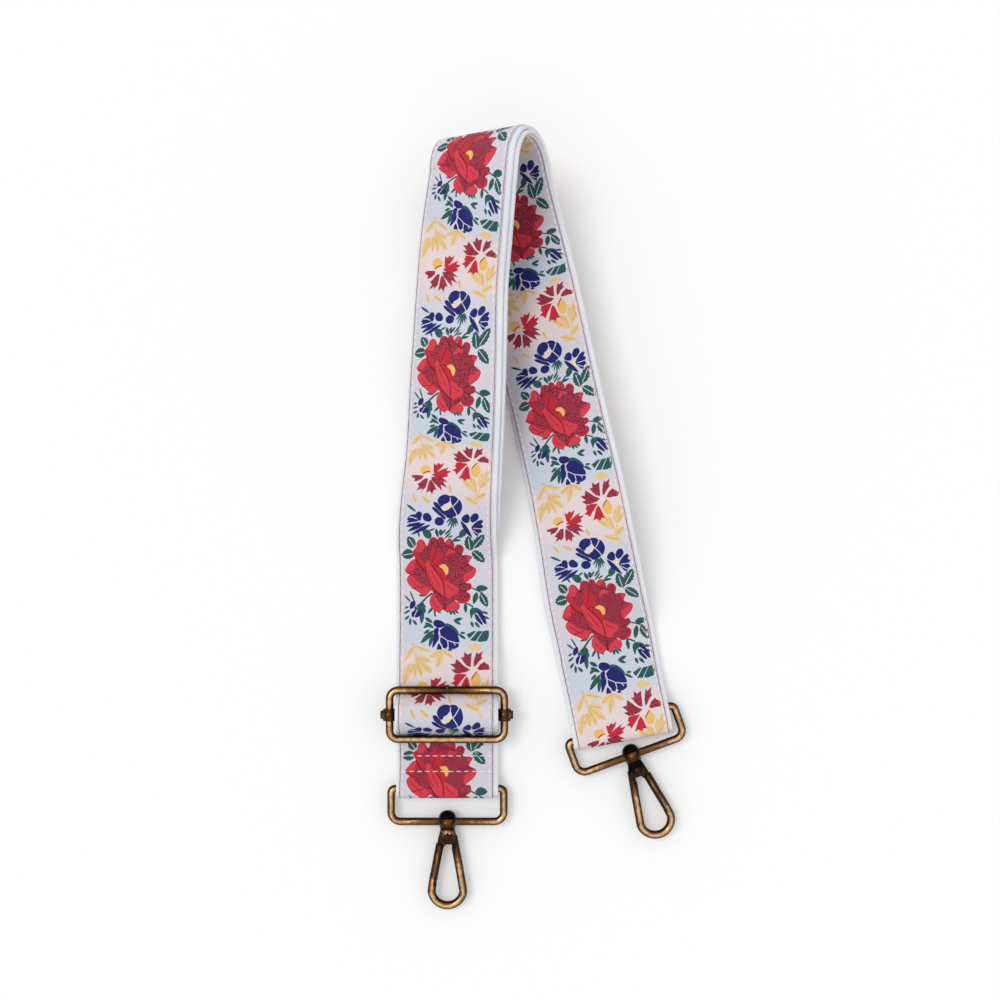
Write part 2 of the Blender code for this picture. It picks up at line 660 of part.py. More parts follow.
def shoulder_plate(top):
    """Solid top of the hook, widening from the swivel down to where the gate starts."""
    cut = SHOULDER_CORNER
    half_top = SHOULDER_RADIUS
    outline = [(-half_top + cut, top), (-half_top, top - cut), (-SHOULDER_HALF, -SHOULDER_DROP + cut),
               (-SHOULDER_HALF + cut, -SHOULDER_DROP), (SHOULDER_HALF - cut, -SHOULDER_DROP),
               (SHOULDER_HALF, -SHOULDER_DROP + cut), (half_top, top - cut), (half_top - cut, top)]
    return prism([Vector((x, y, 0)) for x, y in outline], PLATE_THICKNESS / 2)


def build_hook_body(name, place):
    half_w, half_t = ARM_WIDTH / 2, ARM_THICKNESS / 2
    body = make_object(name, *flat_path_tube(hook_path(), half_w, half_t), BRASS_LOOK, place, smooth=True)
    face = Vector((0, 0, EYE_THICKNESS / 2))
    boss_low = PIVOT_DROP - BOSS_DOWN - RUNNING_GAP
    add_union(body, *shoulder_plate(boss_low))
    add_union(body, *cylinder(EYE_RADIUS, ORIGIN - face, ORIGIN + face))
    boss_high = PIVOT_DROP + BOSS_UP + RUNNING_GAP
    neck = boss_low * NECK_SHARE
    shank = [(neck - SHOULDER_RADIUS, SHANK_RADIUS), (neck, SHOULDER_RADIUS), (boss_low, SHOULDER_RADIUS),
             (boss_low, SHANK_RADIUS), (boss_high, SHANK_RADIUS), (boss_high, CAP_RADIUS)]
    for step in range(1, CAP_STEPS + 1):
        angle = math.radians(CAP_ARC_DEG) * step / CAP_STEPS
        shank.append((boss_high + CAP_HEIGHT * math.sin(angle), CAP_RADIUS * math.cos(angle)))
    add_union(body, *revolve(shank))
    slot = SLOT_WIDTH / 2
    far = SHOULDER_HALF + CUT_OVERRUN
    add_cut(body, *box((-far, -far, -slot), (SLOT_BACK, SLOT_ROOF, slot)))
    pin_reach = Vector((0, 0, EYE_THICKNESS))
    add_cut(body, *cylinder(PIN_RADIUS + RUNNING_GAP, ORIGIN - pin_reach, ORIGIN + pin_reach))
    add_cut(body, *nose_cutter(False))
    return body


def build_gate(name, place):
    half_w, half_t = ARM_WIDTH / 2, ARM_THICKNESS / 2
    path = [arm_point(-1, GATE_TOP), arm_point(-1, (GATE_TOP + NOSE_TOP) / 2),
            arm_point(-1, NOSE_TOP + NOSE_STEP - NOSE_CLEARANCE)]
    gate = make_object(name, *flat_path_tube(path, half_w, half_t), BRASS_LOOK, place, smooth=True)
    add_cut(gate, *nose_cutter(True))
    add_union(gate, *tongue_plate())
    reach = Vector((0, 0, TONGUE_THICKNESS))
    add_cut(gate, *cylinder(PIN_RADIUS + RUNNING_GAP, ORIGIN - reach, ORIGIN + reach))
    return gate


def tongue_plate():
    """Flat plate from the pivot into the top of the gate arm."""
    half = TONGUE_THICKNESS / 2
    root = arm_point(-1, GATE_TOP + ARM_WIDTH / 2)
    down = root.normalized()
    side = Vector((-down.y, down.x, 0))
    outline = []
    for step in range(ROUND_STEPS + 1):
        angle = math.pi * step / ROUND_STEPS
        outline.append(side * (TONGUE_RADIUS * math.cos(angle)) - down * (TONGUE_RADIUS * math.sin(angle)))
    tip = ARM_WIDTH / 2 * TONGUE_TIP_SHARE
    outline.append(root - side * tip)
    outline.append(root + side * tip)
    return prism(outline, half)


def build_pin(name, place):
    reach = EYE_THICKNESS / 2 + RUNNING_GAP
    head = PIN_HEAD_HEIGHT
    steps = 2 * ROUND_STEPS
    profile = [(-reach - head, PIN_HEAD_RADIUS * HEAD_CROWN_SHARE), (-reach, PIN_HEAD_RADIUS),
               (-reach, PIN_RADIUS), (reach, PIN_RADIUS), (reach, PIN_HEAD_RADIUS),
               (reach + head, PIN_HEAD_RADIUS * HEAD_CROWN_SHARE)]
    turn = Matrix.Rotation(math.radians(90), 4, "X")
    verts, faces = revolve(profile, steps)
    return make_object(name, [turn @ v for v in verts], faces, BRASS_LOOK, place, smooth=True)


def build_spring(name, place):
    """Fine torsion spring beside the gate's tongue, with one leg down the gate."""
    steps = math.ceil(SPRING_TURNS * SPRING_STEPS_PER_TURN)
    start_z = TONGUE_THICKNESS / 2 + SPRING_LIFT + SPRING_WIRE
    gate_way = arm_point(-1, GATE_TOP)
    first = math.atan2(gate_way.y, gate_way.x) + math.radians(90)
    path = []
    for step in range(steps + 1):
        share = step / steps
        angle = first + 2 * math.pi * SPRING_TURNS * share
        path.append(Vector((SPRING_RADIUS * math.cos(angle), SPRING_RADIUS * math.sin(angle),
                            start_z + SPRING_RISE * share)))
    lead = gate_way.normalized() * SPRING_LEG
    path.insert(0, path[0] + Vector((lead.x, lead.y, 0)))
    sections = []
    for index, point in enumerate(path):
        before = path[max(index - 1, 0)]
        after = path[min(index + 1, len(path) - 1)]
        along = (after - before).normalized()
        across = along.cross(UP).normalized()
        through = across.cross(along)
        corners = [2 * math.pi * side / WIRE_SIDES for side in range(WIRE_SIDES)]
        sections.append([point + across * (SPRING_WIRE * math.cos(corner))
                         + through * (SPRING_WIRE * math.sin(corner)) for corner in corners])
    verts, faces = sweep(sections)
    return make_object(name, verts, faces, STEEL_LOOK, place, smooth=True)


def build_hook_end(side, bar_place, flipped):
    """Ring, hook, gate, pin and spring at one end, all placed from the ring's upper bar."""
    build_ring(side + "_ring", bar_place)
    drop = Matrix.Translation((0, -RING_DEPTH - PIVOT_DROP, 0))
    turn = Matrix.Rotation(math.pi if flipped else 0.0, 4, "Y")
    pivot = bar_place @ drop @ turn
    build_hook_body(side + "_hook", pivot)
    build_gate(side + "_gate", pivot)
    build_pin(side + "_gate_pin", pivot)
    build_spring(side + "_gate_spring", pivot)


# Slider: bent wire frame and the loose bar across it

def build_slider():
    place = Matrix.Translation((0, SLIDER_CENTRE, SLIDER_AXIS_Z))
    reach = SLIDER_DEPTH / 2
    path = rounded_rectangle(SLIDER_HALF, -reach, reach, SLIDER_CORNER, SLIDER_CORNER)
    verts, faces = flat_path_tube(path, WIRE_RADIUS, WIRE_RADIUS, closed=True)
    frame = make_object("slider_frame", verts, faces, BRASS_LOOK, place, smooth=True)
    cut = BUTT_GAP / 2
    add_cut(frame, *box((-cut, reach - 2 * WIRE_RADIUS, -2 * WIRE_RADIUS),
                        (cut, reach + 2 * WIRE_RADIUS, 2 * WIRE_RADIUS)))
    end = Vector((SLIDER_HALF, 0, 0))
    bar = make_object("slider_bar", *cylinder(CENTRE_BAR_RADIUS, -end, end), BRASS_LOOK, place, smooth=True)
    eye = Vector((0, BAR_EYE_LENGTH / 2, 0))
    bore = Vector((0, BAR_EYE_LENGTH, 0))
    tip = Vector((SLIDER_HALF + WIRE_RADIUS + BAR_KNOB_REACH, 0, 0))
    for sign in (-1, 1):
        add_union(bar, *cylinder(BAR_EYE_RADIUS, end * sign - eye, end * sign + eye))
        add_union(bar, *cylinder(BAR_KNOB_RADIUS, end * sign, tip * sign, end_radius=BAR_KNOB_TIP_RADIUS))
        add_cut(bar, *cylinder(WIRE_RADIUS + EYE_BORE_GAP, end * sign - bore, end * sign + bore))


def main():
    clear_scene()
    build_strap()
    build_slider()
    left = Matrix.Translation((0, RING_AXIS, RING_AXIS))
    build_hook_end("left", left, False)
    centre = RIGHT_END + RIGHT_UP * RIGHT_BAR_REACH + UP * RING_AXIS
    right = Matrix.Translation(centre) @ Matrix.Rotation(RIGHT_LEAN + RIGHT_SKEW, 4, "Z")
    build_hook_end("right", right, True)
    settle_origin()


def settle_origin():
    """Move everything so that the origin is under the middle of the part."""
    bpy.context.view_layer.update()
    verts = [obj.matrix_world @ v.co for obj in bpy.data.objects for v in obj.data.vertices]
    low = [min(v[axis] for v in verts) for axis in range(3)]
    high = [max(v[axis] for v in verts) for axis in range(3)]
    shift = Vector((-(low[0] + high[0]) / 2, -(low[1] + high[1]) / 2, -low[2]))
    for obj in bpy.data.objects:
        obj.matrix_world = Matrix.Translation(shift) @ obj.matrix_world
    print("shift in mm", [round(value / MM, 3) for value in shift])
    print("size in mm", [round((h - l) / MM, 2) for l, h in zip(low, high)])
    for obj in bpy.data.objects:
        if obj.name.endswith(("_ring", "_hook", "slider_frame")):
            print(obj.name, "at", [round(value / MM, 4) for value in obj.matrix_world.translation],
                  "axis x", [round(value, 6) for value in obj.matrix_world.col[0][:3]],
                  "axis y", [round(value, 6) for value in obj.matrix_world.col[1][:3]])


main()
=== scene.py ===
# %% [markdown]
# A detachable bag strap: cotton webbing with a woven flower ribbon sewn on it, doubled through
# a slider, with a swivel snap hook on a wire ring at each end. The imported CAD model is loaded
# as a fixed frame. It says where every piece lies and what moves, and it stays as it is.
# Everything made below dresses it: each new piece rides on one of its bodies.

# %% Load the frame
import json
import math

import bmesh
import bpy
import numpy as np
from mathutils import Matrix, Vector
from mathutils.geometry import delaunay_2d_cdt


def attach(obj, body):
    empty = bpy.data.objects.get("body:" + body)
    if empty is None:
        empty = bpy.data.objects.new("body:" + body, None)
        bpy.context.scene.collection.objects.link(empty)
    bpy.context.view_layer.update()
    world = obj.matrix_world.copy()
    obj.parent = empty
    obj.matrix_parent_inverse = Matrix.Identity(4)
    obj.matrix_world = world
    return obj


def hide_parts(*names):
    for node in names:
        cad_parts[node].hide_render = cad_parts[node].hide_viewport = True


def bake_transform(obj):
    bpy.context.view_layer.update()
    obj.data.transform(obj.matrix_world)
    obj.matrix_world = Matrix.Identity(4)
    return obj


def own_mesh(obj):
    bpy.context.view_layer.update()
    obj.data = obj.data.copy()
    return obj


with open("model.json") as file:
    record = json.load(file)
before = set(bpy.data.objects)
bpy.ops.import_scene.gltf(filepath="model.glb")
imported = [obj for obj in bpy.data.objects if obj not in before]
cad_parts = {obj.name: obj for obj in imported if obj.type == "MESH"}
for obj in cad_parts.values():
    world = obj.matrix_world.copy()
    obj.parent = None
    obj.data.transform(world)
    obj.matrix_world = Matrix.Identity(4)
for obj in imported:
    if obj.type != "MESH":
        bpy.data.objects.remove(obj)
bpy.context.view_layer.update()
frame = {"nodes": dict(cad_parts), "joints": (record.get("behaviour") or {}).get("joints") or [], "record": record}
MM = 0.001
scene = bpy.context.scene
print("frame loaded,", len(frame["nodes"]), "nodes")

# %% [markdown]
# The photograph was taken from straight above. Its scale is known from the webbing, which is
# 50 mm wide, and the pattern grows near the standing fold, which is nearer the camera: that
# gives the camera's height. Its place over the strap comes from another script, which fitted the
# strap's edges to the photograph. It has no turn and no shift.

# %% The camera, straight above the strap
CAMERA_HEIGHT = 600 * MM
CAMERA_AHEAD = 146.3 * MM     # of the bottom edge of the sewn fold
CAMERA_ASIDE = 25.8 * MM      # of the left leg's middle
FOCAL_PIXELS = 1212.6
IMAGE_PIXELS = 1000
SENSOR_WIDTH = 36.0

# %% [markdown]
# The strap's own sizes are those of the part's source, because its route is worked out here a
# second time, in finer steps, for cloth that looks bent and not faceted. One joint of the frame
# says where the source's drawing has ended up: the left ring turns about its bar, whose place
# in the drawing is known.

# %% Sizes of the strap and its lay
WEBBING_WIDTH = 50.0 * MM
WEBBING_THICKNESS = 1.6 * MM
RIBBON_INSET = 1.4 * MM
RIBBON_THICKNESS = 0.6 * MM
SEW_GAP = 0.3 * MM
LAYER_GAP = 0.3 * MM
LAYER_THICKNESS = WEBBING_THICKNESS + SEW_GAP + RIBBON_THICKNESS
LAYER_PITCH = LAYER_THICKNESS + LAYER_GAP
WIRE_RADIUS = 1.9 * MM
WRAP_GAP = 0.3 * MM
SLIDER_DEPTH = 23.9 * MM
SLIDER_CENTRE = 41.9 * MM
SLIDER_SIDE_GAP = 1.0 * MM
CENTRE_BAR_RADIUS = 1.6 * MM
BAR_EYE_RADIUS = WIRE_RADIUS + 1.35 * MM
BAR_LOOP_GAP = 0.5 * MM
SLIDER_HALF = WEBBING_WIDTH / 2 + SLIDER_SIDE_GAP + WIRE_RADIUS
BAR_LOOP_WIDTH = 2 * (SLIDER_HALF - BAR_EYE_RADIUS - BAR_LOOP_GAP)
SEWN_TAB = 25.0 * MM
SEWN_SPLIT = 22.0 * MM
SLIDER_TAB_END = SLIDER_CENTRE + 24.8 * MM
BAR_LOOP_SPLIT = SLIDER_TAB_END + 2.5 * MM
TAB_JOIN = 10.0 * MM
TAB_FORK = 2.5 * MM
HUMP_FOOT = 18.0 * MM
TAB_CLOSED = 16.0 * MM
LEG_LENGTH = 316.0 * MM
LEFT_FLAT_END = 0.373418 * LEG_LENGTH
FOLD_DEPTH = 22.2 * MM
FOLD_HALF = 15.1 * MM
RIGHT_END = Vector((86.6 * MM, 27.8 * MM, 0))
RIGHT_LEAN = math.radians(11.1)
RIGHT_FLAT = 50.0 * MM
RIGHT_PINCH = 0.8 * MM
LOOP_OPEN = 16.0 * MM
LOOP_CLOSED = 33.0 * MM
BIG_FOLD_TILT = math.radians(34.0)
SIDE_SLIP = 0.6 * MM
SLIP_FADE_SHARE = 0.08
SOFT_BEND = 12.0 * MM
FIRM_BEND = 4.0 * MM
TABLE_MARGIN = 0.65 * MM
LEFT_ROUTE_SHARES = [
    (0.0000, 0.405, -0.3, 6.0, 0.00),
    (0.0039, 0.462, -0.8, 15.5, 0.01),
    (0.0098, 0.530, -1.5, 22.5, 0.04),
    (0.0168, 0.652, -3.0, 26.6, 0.39),
    (0.0245, 0.800, -4.5, 32.4, 0.46),
]
RIGHT_ROUTE_SHARES = [
    (0.1322, 0.760, 12.5, 24.4),
    (0.1725, 0.584, 12.5, 27.1),
    (0.1943, 0.490, 12.0, 24.8),
    (0.2119, 0.399, 11.5, 21.0),
    (0.2269, 0.316, 11.1, 11.3),
]
FOLD_CENTRE_SHARES = (0.069, 0.9306)
FOLD_WAY_SHARES = (-0.06, 0.99, 0.10)
FOLD_ARC_DEG = (14.0, 166.0)
FOLD_TURN_DEG = (-8.6, 4.2)
FOLD_TILT_DEG = (38.3, 36.7)
FOLD_LIFT_SHARE = 0.785
FOLD_STOPS = 10
CAD_STEP = 8.0 * MM

STACK_HALF = (2 * LAYER_THICKNESS + LAYER_GAP) / 2
INNER_Z = LAYER_THICKNESS / 2
OUTER_Z = INNER_Z + LAYER_PITCH
RING_WRAP = WIRE_RADIUS + WRAP_GAP + LAYER_THICKNESS / 2
RING_AXIS = WIRE_RADIUS + WRAP_GAP + LAYER_THICKNESS
BAR_WRAP = CENTRE_BAR_RADIUS + WRAP_GAP + LAYER_THICKNESS / 2
OVER_TAB_Z = OUTER_Z + LAYER_PITCH
SLIDER_AXIS_Z = OVER_TAB_Z + LAYER_THICKNESS / 2 + WRAP_GAP + WIRE_RADIUS
BOTTOM_BAR_Y = SLIDER_CENTRE - SLIDER_DEPTH / 2
TOP_BAR_Y = SLIDER_CENTRE + SLIDER_DEPTH / 2
RIGHT_UP = Vector((-math.sin(RIGHT_LEAN), math.cos(RIGHT_LEAN), 0))
ORIGIN = Vector((0, 0, 0))
ALONG_Y = Vector((0, 1, 0))
UP = Vector((0, 0, 1))
joints = {joint["name"]: joint for joint in frame["joints"]}
SHIFT = Vector(joints["left_ring_swing"]["pos_m"]) - Vector((0, RING_AXIS, RING_AXIS))
print("drawing moved by", [round(value / MM, 2) for value in SHIFT], "mm")

# %% Make the camera
camera_data = bpy.data.cameras.new("camera")
camera_data.sensor_width = SENSOR_WIDTH
camera_data.lens = FOCAL_PIXELS / IMAGE_PIXELS * SENSOR_WIDTH
camera = bpy.data.objects.new("camera", camera_data)
camera.location = (CAMERA_ASIDE + SHIFT.x, CAMERA_AHEAD + SHIFT.y, CAMERA_HEIGHT)
scene.collection.objects.link(camera)
scene.camera = camera
print("camera at", [round(value / MM, 1) for value in camera.location], "mm")

# %% [markdown]
# Seen from the side, a strap that runs round bars is a belt on pulleys: straight lines that
# touch circles. Each bar, and each soft bend in the cloth, is a circle with a way round it. The
# helper below returns the taut line, and the next one gives it points close enough to bend.

# %% A belt round bars, in a side view
BEND_STEP = math.radians(9)
FINE_STEP = 2.5 * MM
SHORTEST_RUN = 0.01 * MM
ANGLE_SLACK = 1e-6
ROUNDING_SLACK = 1e-6


def belt(circles):
    """Taut line round circles (y, z, radius, turn); turn 1 is anticlockwise, -1 clockwise."""
    tangents = []
    for (y0, z0, r0, s0), (y1, z1, r1, s1) in zip(circles, circles[1:]):
        start, end = r0 * s0, r1 * s1
        run_y, run_z = y1 - y0, z1 - z0
        swing = math.asin((start - end) / math.hypot(run_y, run_z))
        heading = math.atan2(run_z, run_y) + swing
        side_y, side_z = math.sin(heading), -math.cos(heading)
        tangents.append(((y0 + start * side_y, z0 + start * side_z),
                         (y1 + end * side_y, z1 + end * side_z), heading))
    path = [tangents[0][0]]
    for index, (y, z, radius, turn) in enumerate(circles[1:-1]):
        heading_in = tangents[index][2]
        bend = tangents[index + 1][2] - heading_in
        while turn * bend < -ANGLE_SLACK:
            bend += turn * 2 * math.pi
        while turn * bend > 2 * math.pi - ANGLE_SLACK:
            bend -= turn * 2 * math.pi
        steps = max(1, math.ceil(abs(bend) / BEND_STEP))
        for step in range(steps + 1):
            heading = heading_in + bend * step / steps
            path.append((y + turn * radius * math.sin(heading), z - turn * radius * math.cos(heading)))
    path.append(tangents[-1][1])
    return path


def spaced(path):
    """The path with its long straight runs cut up."""
    points = [path[0]]
    for start, end in zip(path, path[1:]):
        length = math.dist(start, end)
        if length < SHORTEST_RUN:
            continue
        cuts = max(1, math.ceil(length / FINE_STEP))
        for cut in range(1, cuts + 1):
            share = cut / cuts
            points.append(tuple(a + (b - a) * share for a, b in zip(start, end)))
    return points


def side_view_stations(path, origin=ORIGIN, along=ALONG_Y):
    """Stations (point, width direction, flower side) of a side-view path on a leg."""
    across = along.cross(UP)
    stations = []
    count = len(path)
    for index, (y, z) in enumerate(path):
        before = path[max(index - 1, 0)]
        after = path[min(index + 1, count - 1)]
        run = along * (after[0] - before[0]) + UP * (after[1] - before[1])
        run.normalize()
        stations.append((origin + along * y + UP * z, across, across.cross(run)))
    return stations


# %% [markdown]
# Between the flat ends both layers go over the big fold together. Their shared middle is a
# smooth curve through stops, each with the turn and the tilt of the cloth's width. The stops
# are those of the part's source; only the steps between them are finer.

# %% The route over the big fold
def smooth_route(stops):
    """Smooth curve through (point, turn, tilt) stops, with the width direction on it."""
    values = [(*point, turn, tilt) for point, turn, tilt in stops]
    dense = []
    for index in range(len(values) - 1):
        before = values[max(index - 1, 0)]
        start, end = values[index], values[index + 1]
        after = values[min(index + 2, len(values) - 1)]
        chord = math.dist(start[:3], end[:3])
        back = math.dist(before[:3], start[:3]) or chord
        front = math.dist(end[:3], after[:3]) or chord
        cuts = max(1, math.ceil(chord / FINE_STEP - ROUNDING_SLACK))
        for cut in range(cuts):
            share = cut / cuts
            point = []
            for b, s, e, a in zip(before, start, end, after):
                slope_in = ((s - b) / back * chord + (e - s)) / 2 if index > 0 else e - s
                slope_out = ((a - e) / front * chord + (e - s)) / 2 if index < len(values) - 2 else e - s
                h00 = 2 * share ** 3 - 3 * share ** 2 + 1
                h10 = share ** 3 - 2 * share ** 2 + share
                h01 = 3 * share ** 2 - 2 * share ** 3
                h11 = share ** 3 - share ** 2
                point.append(h00 * s + h10 * slope_in + h01 * e + h11 * slope_out)
            dense.append(tuple(point))
    dense.append(values[-1])
    stations = []
    count = len(dense)
    for index, row in enumerate(dense):
        before = Vector(dense[max(index - 1, 0)][:3])
        after = Vector(dense[min(index + 1, count - 1)][:3])
        run = (after - before).normalized()
        turn, tilt = math.radians(row[3]), math.radians(row[4])
        width = Vector((math.cos(tilt) * math.cos(turn), math.cos(tilt) * math.sin(turn), math.sin(tilt)))
        width = (width - run * width.dot(run)).normalized()
        stations.append((Vector(row[:3]), width, width.cross(run)))
    return stations


def resting_height(tilt_deg):
    """Height of the stack's middle when its low edge lies on the table."""
    tilt = math.radians(tilt_deg)
    low_edge = WEBBING_WIDTH / 2 + SIDE_SLIP
    return low_edge * math.sin(tilt) + STACK_HALF * math.cos(tilt) + TABLE_MARGIN


def stack_route():
    """Middle of the doubled strap from the left leg's flat end over the fold to the right leg's."""
    fold_x, fold_y = (share * LEG_LENGTH for share in FOLD_CENTRE_SHARES)
    fold_z = resting_height(FOLD_TILT_DEG[1]) + FOLD_LIFT_SHARE * FOLD_HALF
    stops = [((0, LEFT_FLAT_END - CAD_STEP, STACK_HALF), 0, 0), ((0, LEFT_FLAT_END, STACK_HALF), 0, 0)]
    for x_share, y_share, turn, slant, lift_share in LEFT_ROUTE_SHARES:
        z = resting_height(slant) + lift_share * FOLD_DEPTH
        stops.append(((x_share * LEG_LENGTH, y_share * LEG_LENGTH, z), turn, slant))
    way = Vector(FOLD_WAY_SHARES)
    outward = Vector((-math.sin(BIG_FOLD_TILT), 0, math.cos(BIG_FOLD_TILT)))
    centre = Vector((fold_x, fold_y, fold_z))
    for step in range(FOLD_STOPS + 1):
        share = step / FOLD_STOPS
        angle = math.radians(FOLD_ARC_DEG[0] + (FOLD_ARC_DEG[1] - FOLD_ARC_DEG[0]) * share)
        point = (centre + outward * (FOLD_HALF * math.cos(angle))
                 + way * (FOLD_DEPTH * math.sin(angle)))
        turn = FOLD_TURN_DEG[0] + (FOLD_TURN_DEG[1] - FOLD_TURN_DEG[0]) * share
        slant = FOLD_TILT_DEG[0] + (FOLD_TILT_DEG[1] - FOLD_TILT_DEG[0]) * share
        stops.append((tuple(point), turn, slant))
    for x_share, y_share, turn, slant in RIGHT_ROUTE_SHARES:
        stops.append(((x_share * LEG_LENGTH, y_share * LEG_LENGTH, resting_height(slant)), turn, slant))
    for reach in (RIGHT_FLAT, RIGHT_FLAT - CAD_STEP):
        point = RIGHT_END + RIGHT_UP * reach
        stops.append(((point.x, point.y, STACK_HALF), math.degrees(RIGHT_LEAN), 0))
    return smooth_route(stops)


def route_layer(route, way):
    """One layer of the doubled strap; way is 1 outside and -1 inside the big fold."""
    last = len(route) - 1
    layer = []
    for index, (point, across, out) in enumerate(route):
        fade = min(1, index / last / SLIP_FADE_SHARE, (last - index) / last / SLIP_FADE_SHARE)
        aside = across * (-way * SIDE_SLIP * fade)
        layer.append((point + out * (way * LAYER_PITCH / 2) + aside, across, out * way))
    return layer


# %% [markdown]
# The one long strap is followed from its sewn end: round the left ring, up the left leg and over
# the slider's bars, over the big fold on the outside, down and round the right ring, and back on
# the inside to the slider's centre bar. Each stretch below is a list of stations in that order,
# so that a length counted along it carries the woven pattern on without a break.

# %% The stretches of the strap
LEFT_END = LEFT_FLAT_END - CAD_STEP
LOOP_REACH = RIGHT_FLAT - CAD_STEP
route = stack_route()
sewn = [(SEWN_TAB, INNER_Z, 0, 1), (RING_AXIS, RING_AXIS, RING_WRAP, -1),
        (TAB_CLOSED, OUTER_Z + FIRM_BEND, FIRM_BEND, 1), (SEWN_SPLIT, OUTER_Z, 0, 1)]
humped = [(SEWN_SPLIT, OUTER_Z, 0, 1), (SEWN_SPLIT + WRAP_GAP, OUTER_Z + FIRM_BEND, FIRM_BEND, 1),
          (BOTTOM_BAR_Y, SLIDER_AXIS_Z, RING_WRAP, 1),
          (SLIDER_CENTRE, SLIDER_AXIS_Z, BAR_WRAP + LAYER_PITCH, -1),
          (TOP_BAR_Y, SLIDER_AXIS_Z, RING_WRAP, 1),
          (SLIDER_TAB_END + WRAP_GAP, OVER_TAB_Z - SOFT_BEND, SOFT_BEND, -1),
          (SLIDER_TAB_END + HUMP_FOOT, OUTER_Z + SOFT_BEND, SOFT_BEND, 1), (LEFT_END, OUTER_Z, 0, 1)]
looped = [(LOOP_REACH, INNER_Z, 0, 1), (RING_AXIS, RING_AXIS, RING_WRAP, -1),
          (LOOP_OPEN, RING_AXIS + RING_WRAP - SOFT_BEND, SOFT_BEND, -1),
          (LOOP_CLOSED, OUTER_Z + SOFT_BEND, SOFT_BEND, 1), (LOOP_REACH, OUTER_Z, 0, 1)]
plain = [(LEFT_END, INNER_Z), (BAR_LOOP_SPLIT, INNER_Z)]
wrapped = [(BAR_LOOP_SPLIT, INNER_Z, 0, 1),
           (SLIDER_CENTRE + TAB_JOIN - TAB_FORK, INNER_Z + FIRM_BEND, FIRM_BEND, -1),
           (SLIDER_CENTRE, SLIDER_AXIS_Z, BAR_WRAP, -1),
           (SLIDER_CENTRE + TAB_JOIN, OUTER_Z + FIRM_BEND, FIRM_BEND, 1), (SLIDER_TAB_END, OUTER_Z, 0, 1)]
stretches = {
    "sewn_end": side_view_stations(spaced(belt(sewn))),
    "slider_run": side_view_stations(spaced(belt(humped))),
    "over_fold": route_layer(route, 1),
    "right_loop": side_view_stations(spaced(belt(looped)), RIGHT_END, RIGHT_UP),
    "inner_fold": list(reversed(route_layer(route, -1))),
    "inner_run": side_view_stations(spaced(plain)),
    "bar_loop": side_view_stations(spaced(belt(wrapped))),
}
for name, stations in stretches.items():
    stretches[name] = [(point + SHIFT, across, floral) for point, across, floral in stations]
# A bent stretch takes over the end section of the flat one it meets, so that no gap shows there.
for curved, its_end, flat, flat_end in (
        ("over_fold", 0, "slider_run", -1), ("over_fold", -1, "right_loop", 0),
        ("inner_fold", 0, "right_loop", -1), ("inner_fold", -1, "inner_run", 0)):
    stretches[curved][its_end] = stretches[flat][flat_end]


def lengths(stations):
    """Length along the strap at each station."""
    run = [0.0]
    for before, after in zip(stations, stations[1:]):
        run.append(run[-1] + (after[0] - before[0]).length)
    return run


for name, stations in stretches.items():
    print(name, len(stations), "stations,", round(lengths(stations)[-1] / MM, 1), "mm")

# %% [markdown]
# Fabric and metal both need nodes. Written one by one they hide the idea behind the wiring, so
# two small helpers come first. `Sum` wraps a socket and lets an expression such as 1 - mask add
# its own Math nodes. `Look` holds one material and adds any other node from its type, its
# settings and the values or links of its sockets.

# %% Helpers for materials
class Sum:
    """A number on its way through the nodes."""
    def __init__(self, look, socket):
        self.look = look
        self.socket = socket

    def math(self, operation, *others):
        return self.look.node("ShaderNodeMath", {"operation": operation}, dict(enumerate((self, *others))))

    def __add__(self, other):
        return self.math("ADD", other)

    def __radd__(self, other):
        return self.math("ADD", other)

    def __sub__(self, other):
        return self.math("SUBTRACT", other)

    def __rsub__(self, other):
        return self.look.node("ShaderNodeMath", {"operation": "SUBTRACT"}, {0: other, 1: self})

    def __mul__(self, other):
        return self.math("MULTIPLY", other)

    def __truediv__(self, other):
        return self.math("DIVIDE", other)

    def __lt__(self, other):
        return self.math("LESS_THAN", other)

    def __gt__(self, other):
        return self.math("GREATER_THAN", other)

    def wave(self, pitch):
        """Up from 0 to 1 and down again, once in every pitch."""
        return (self / pitch).math("PINGPONG", 0.5) * 2


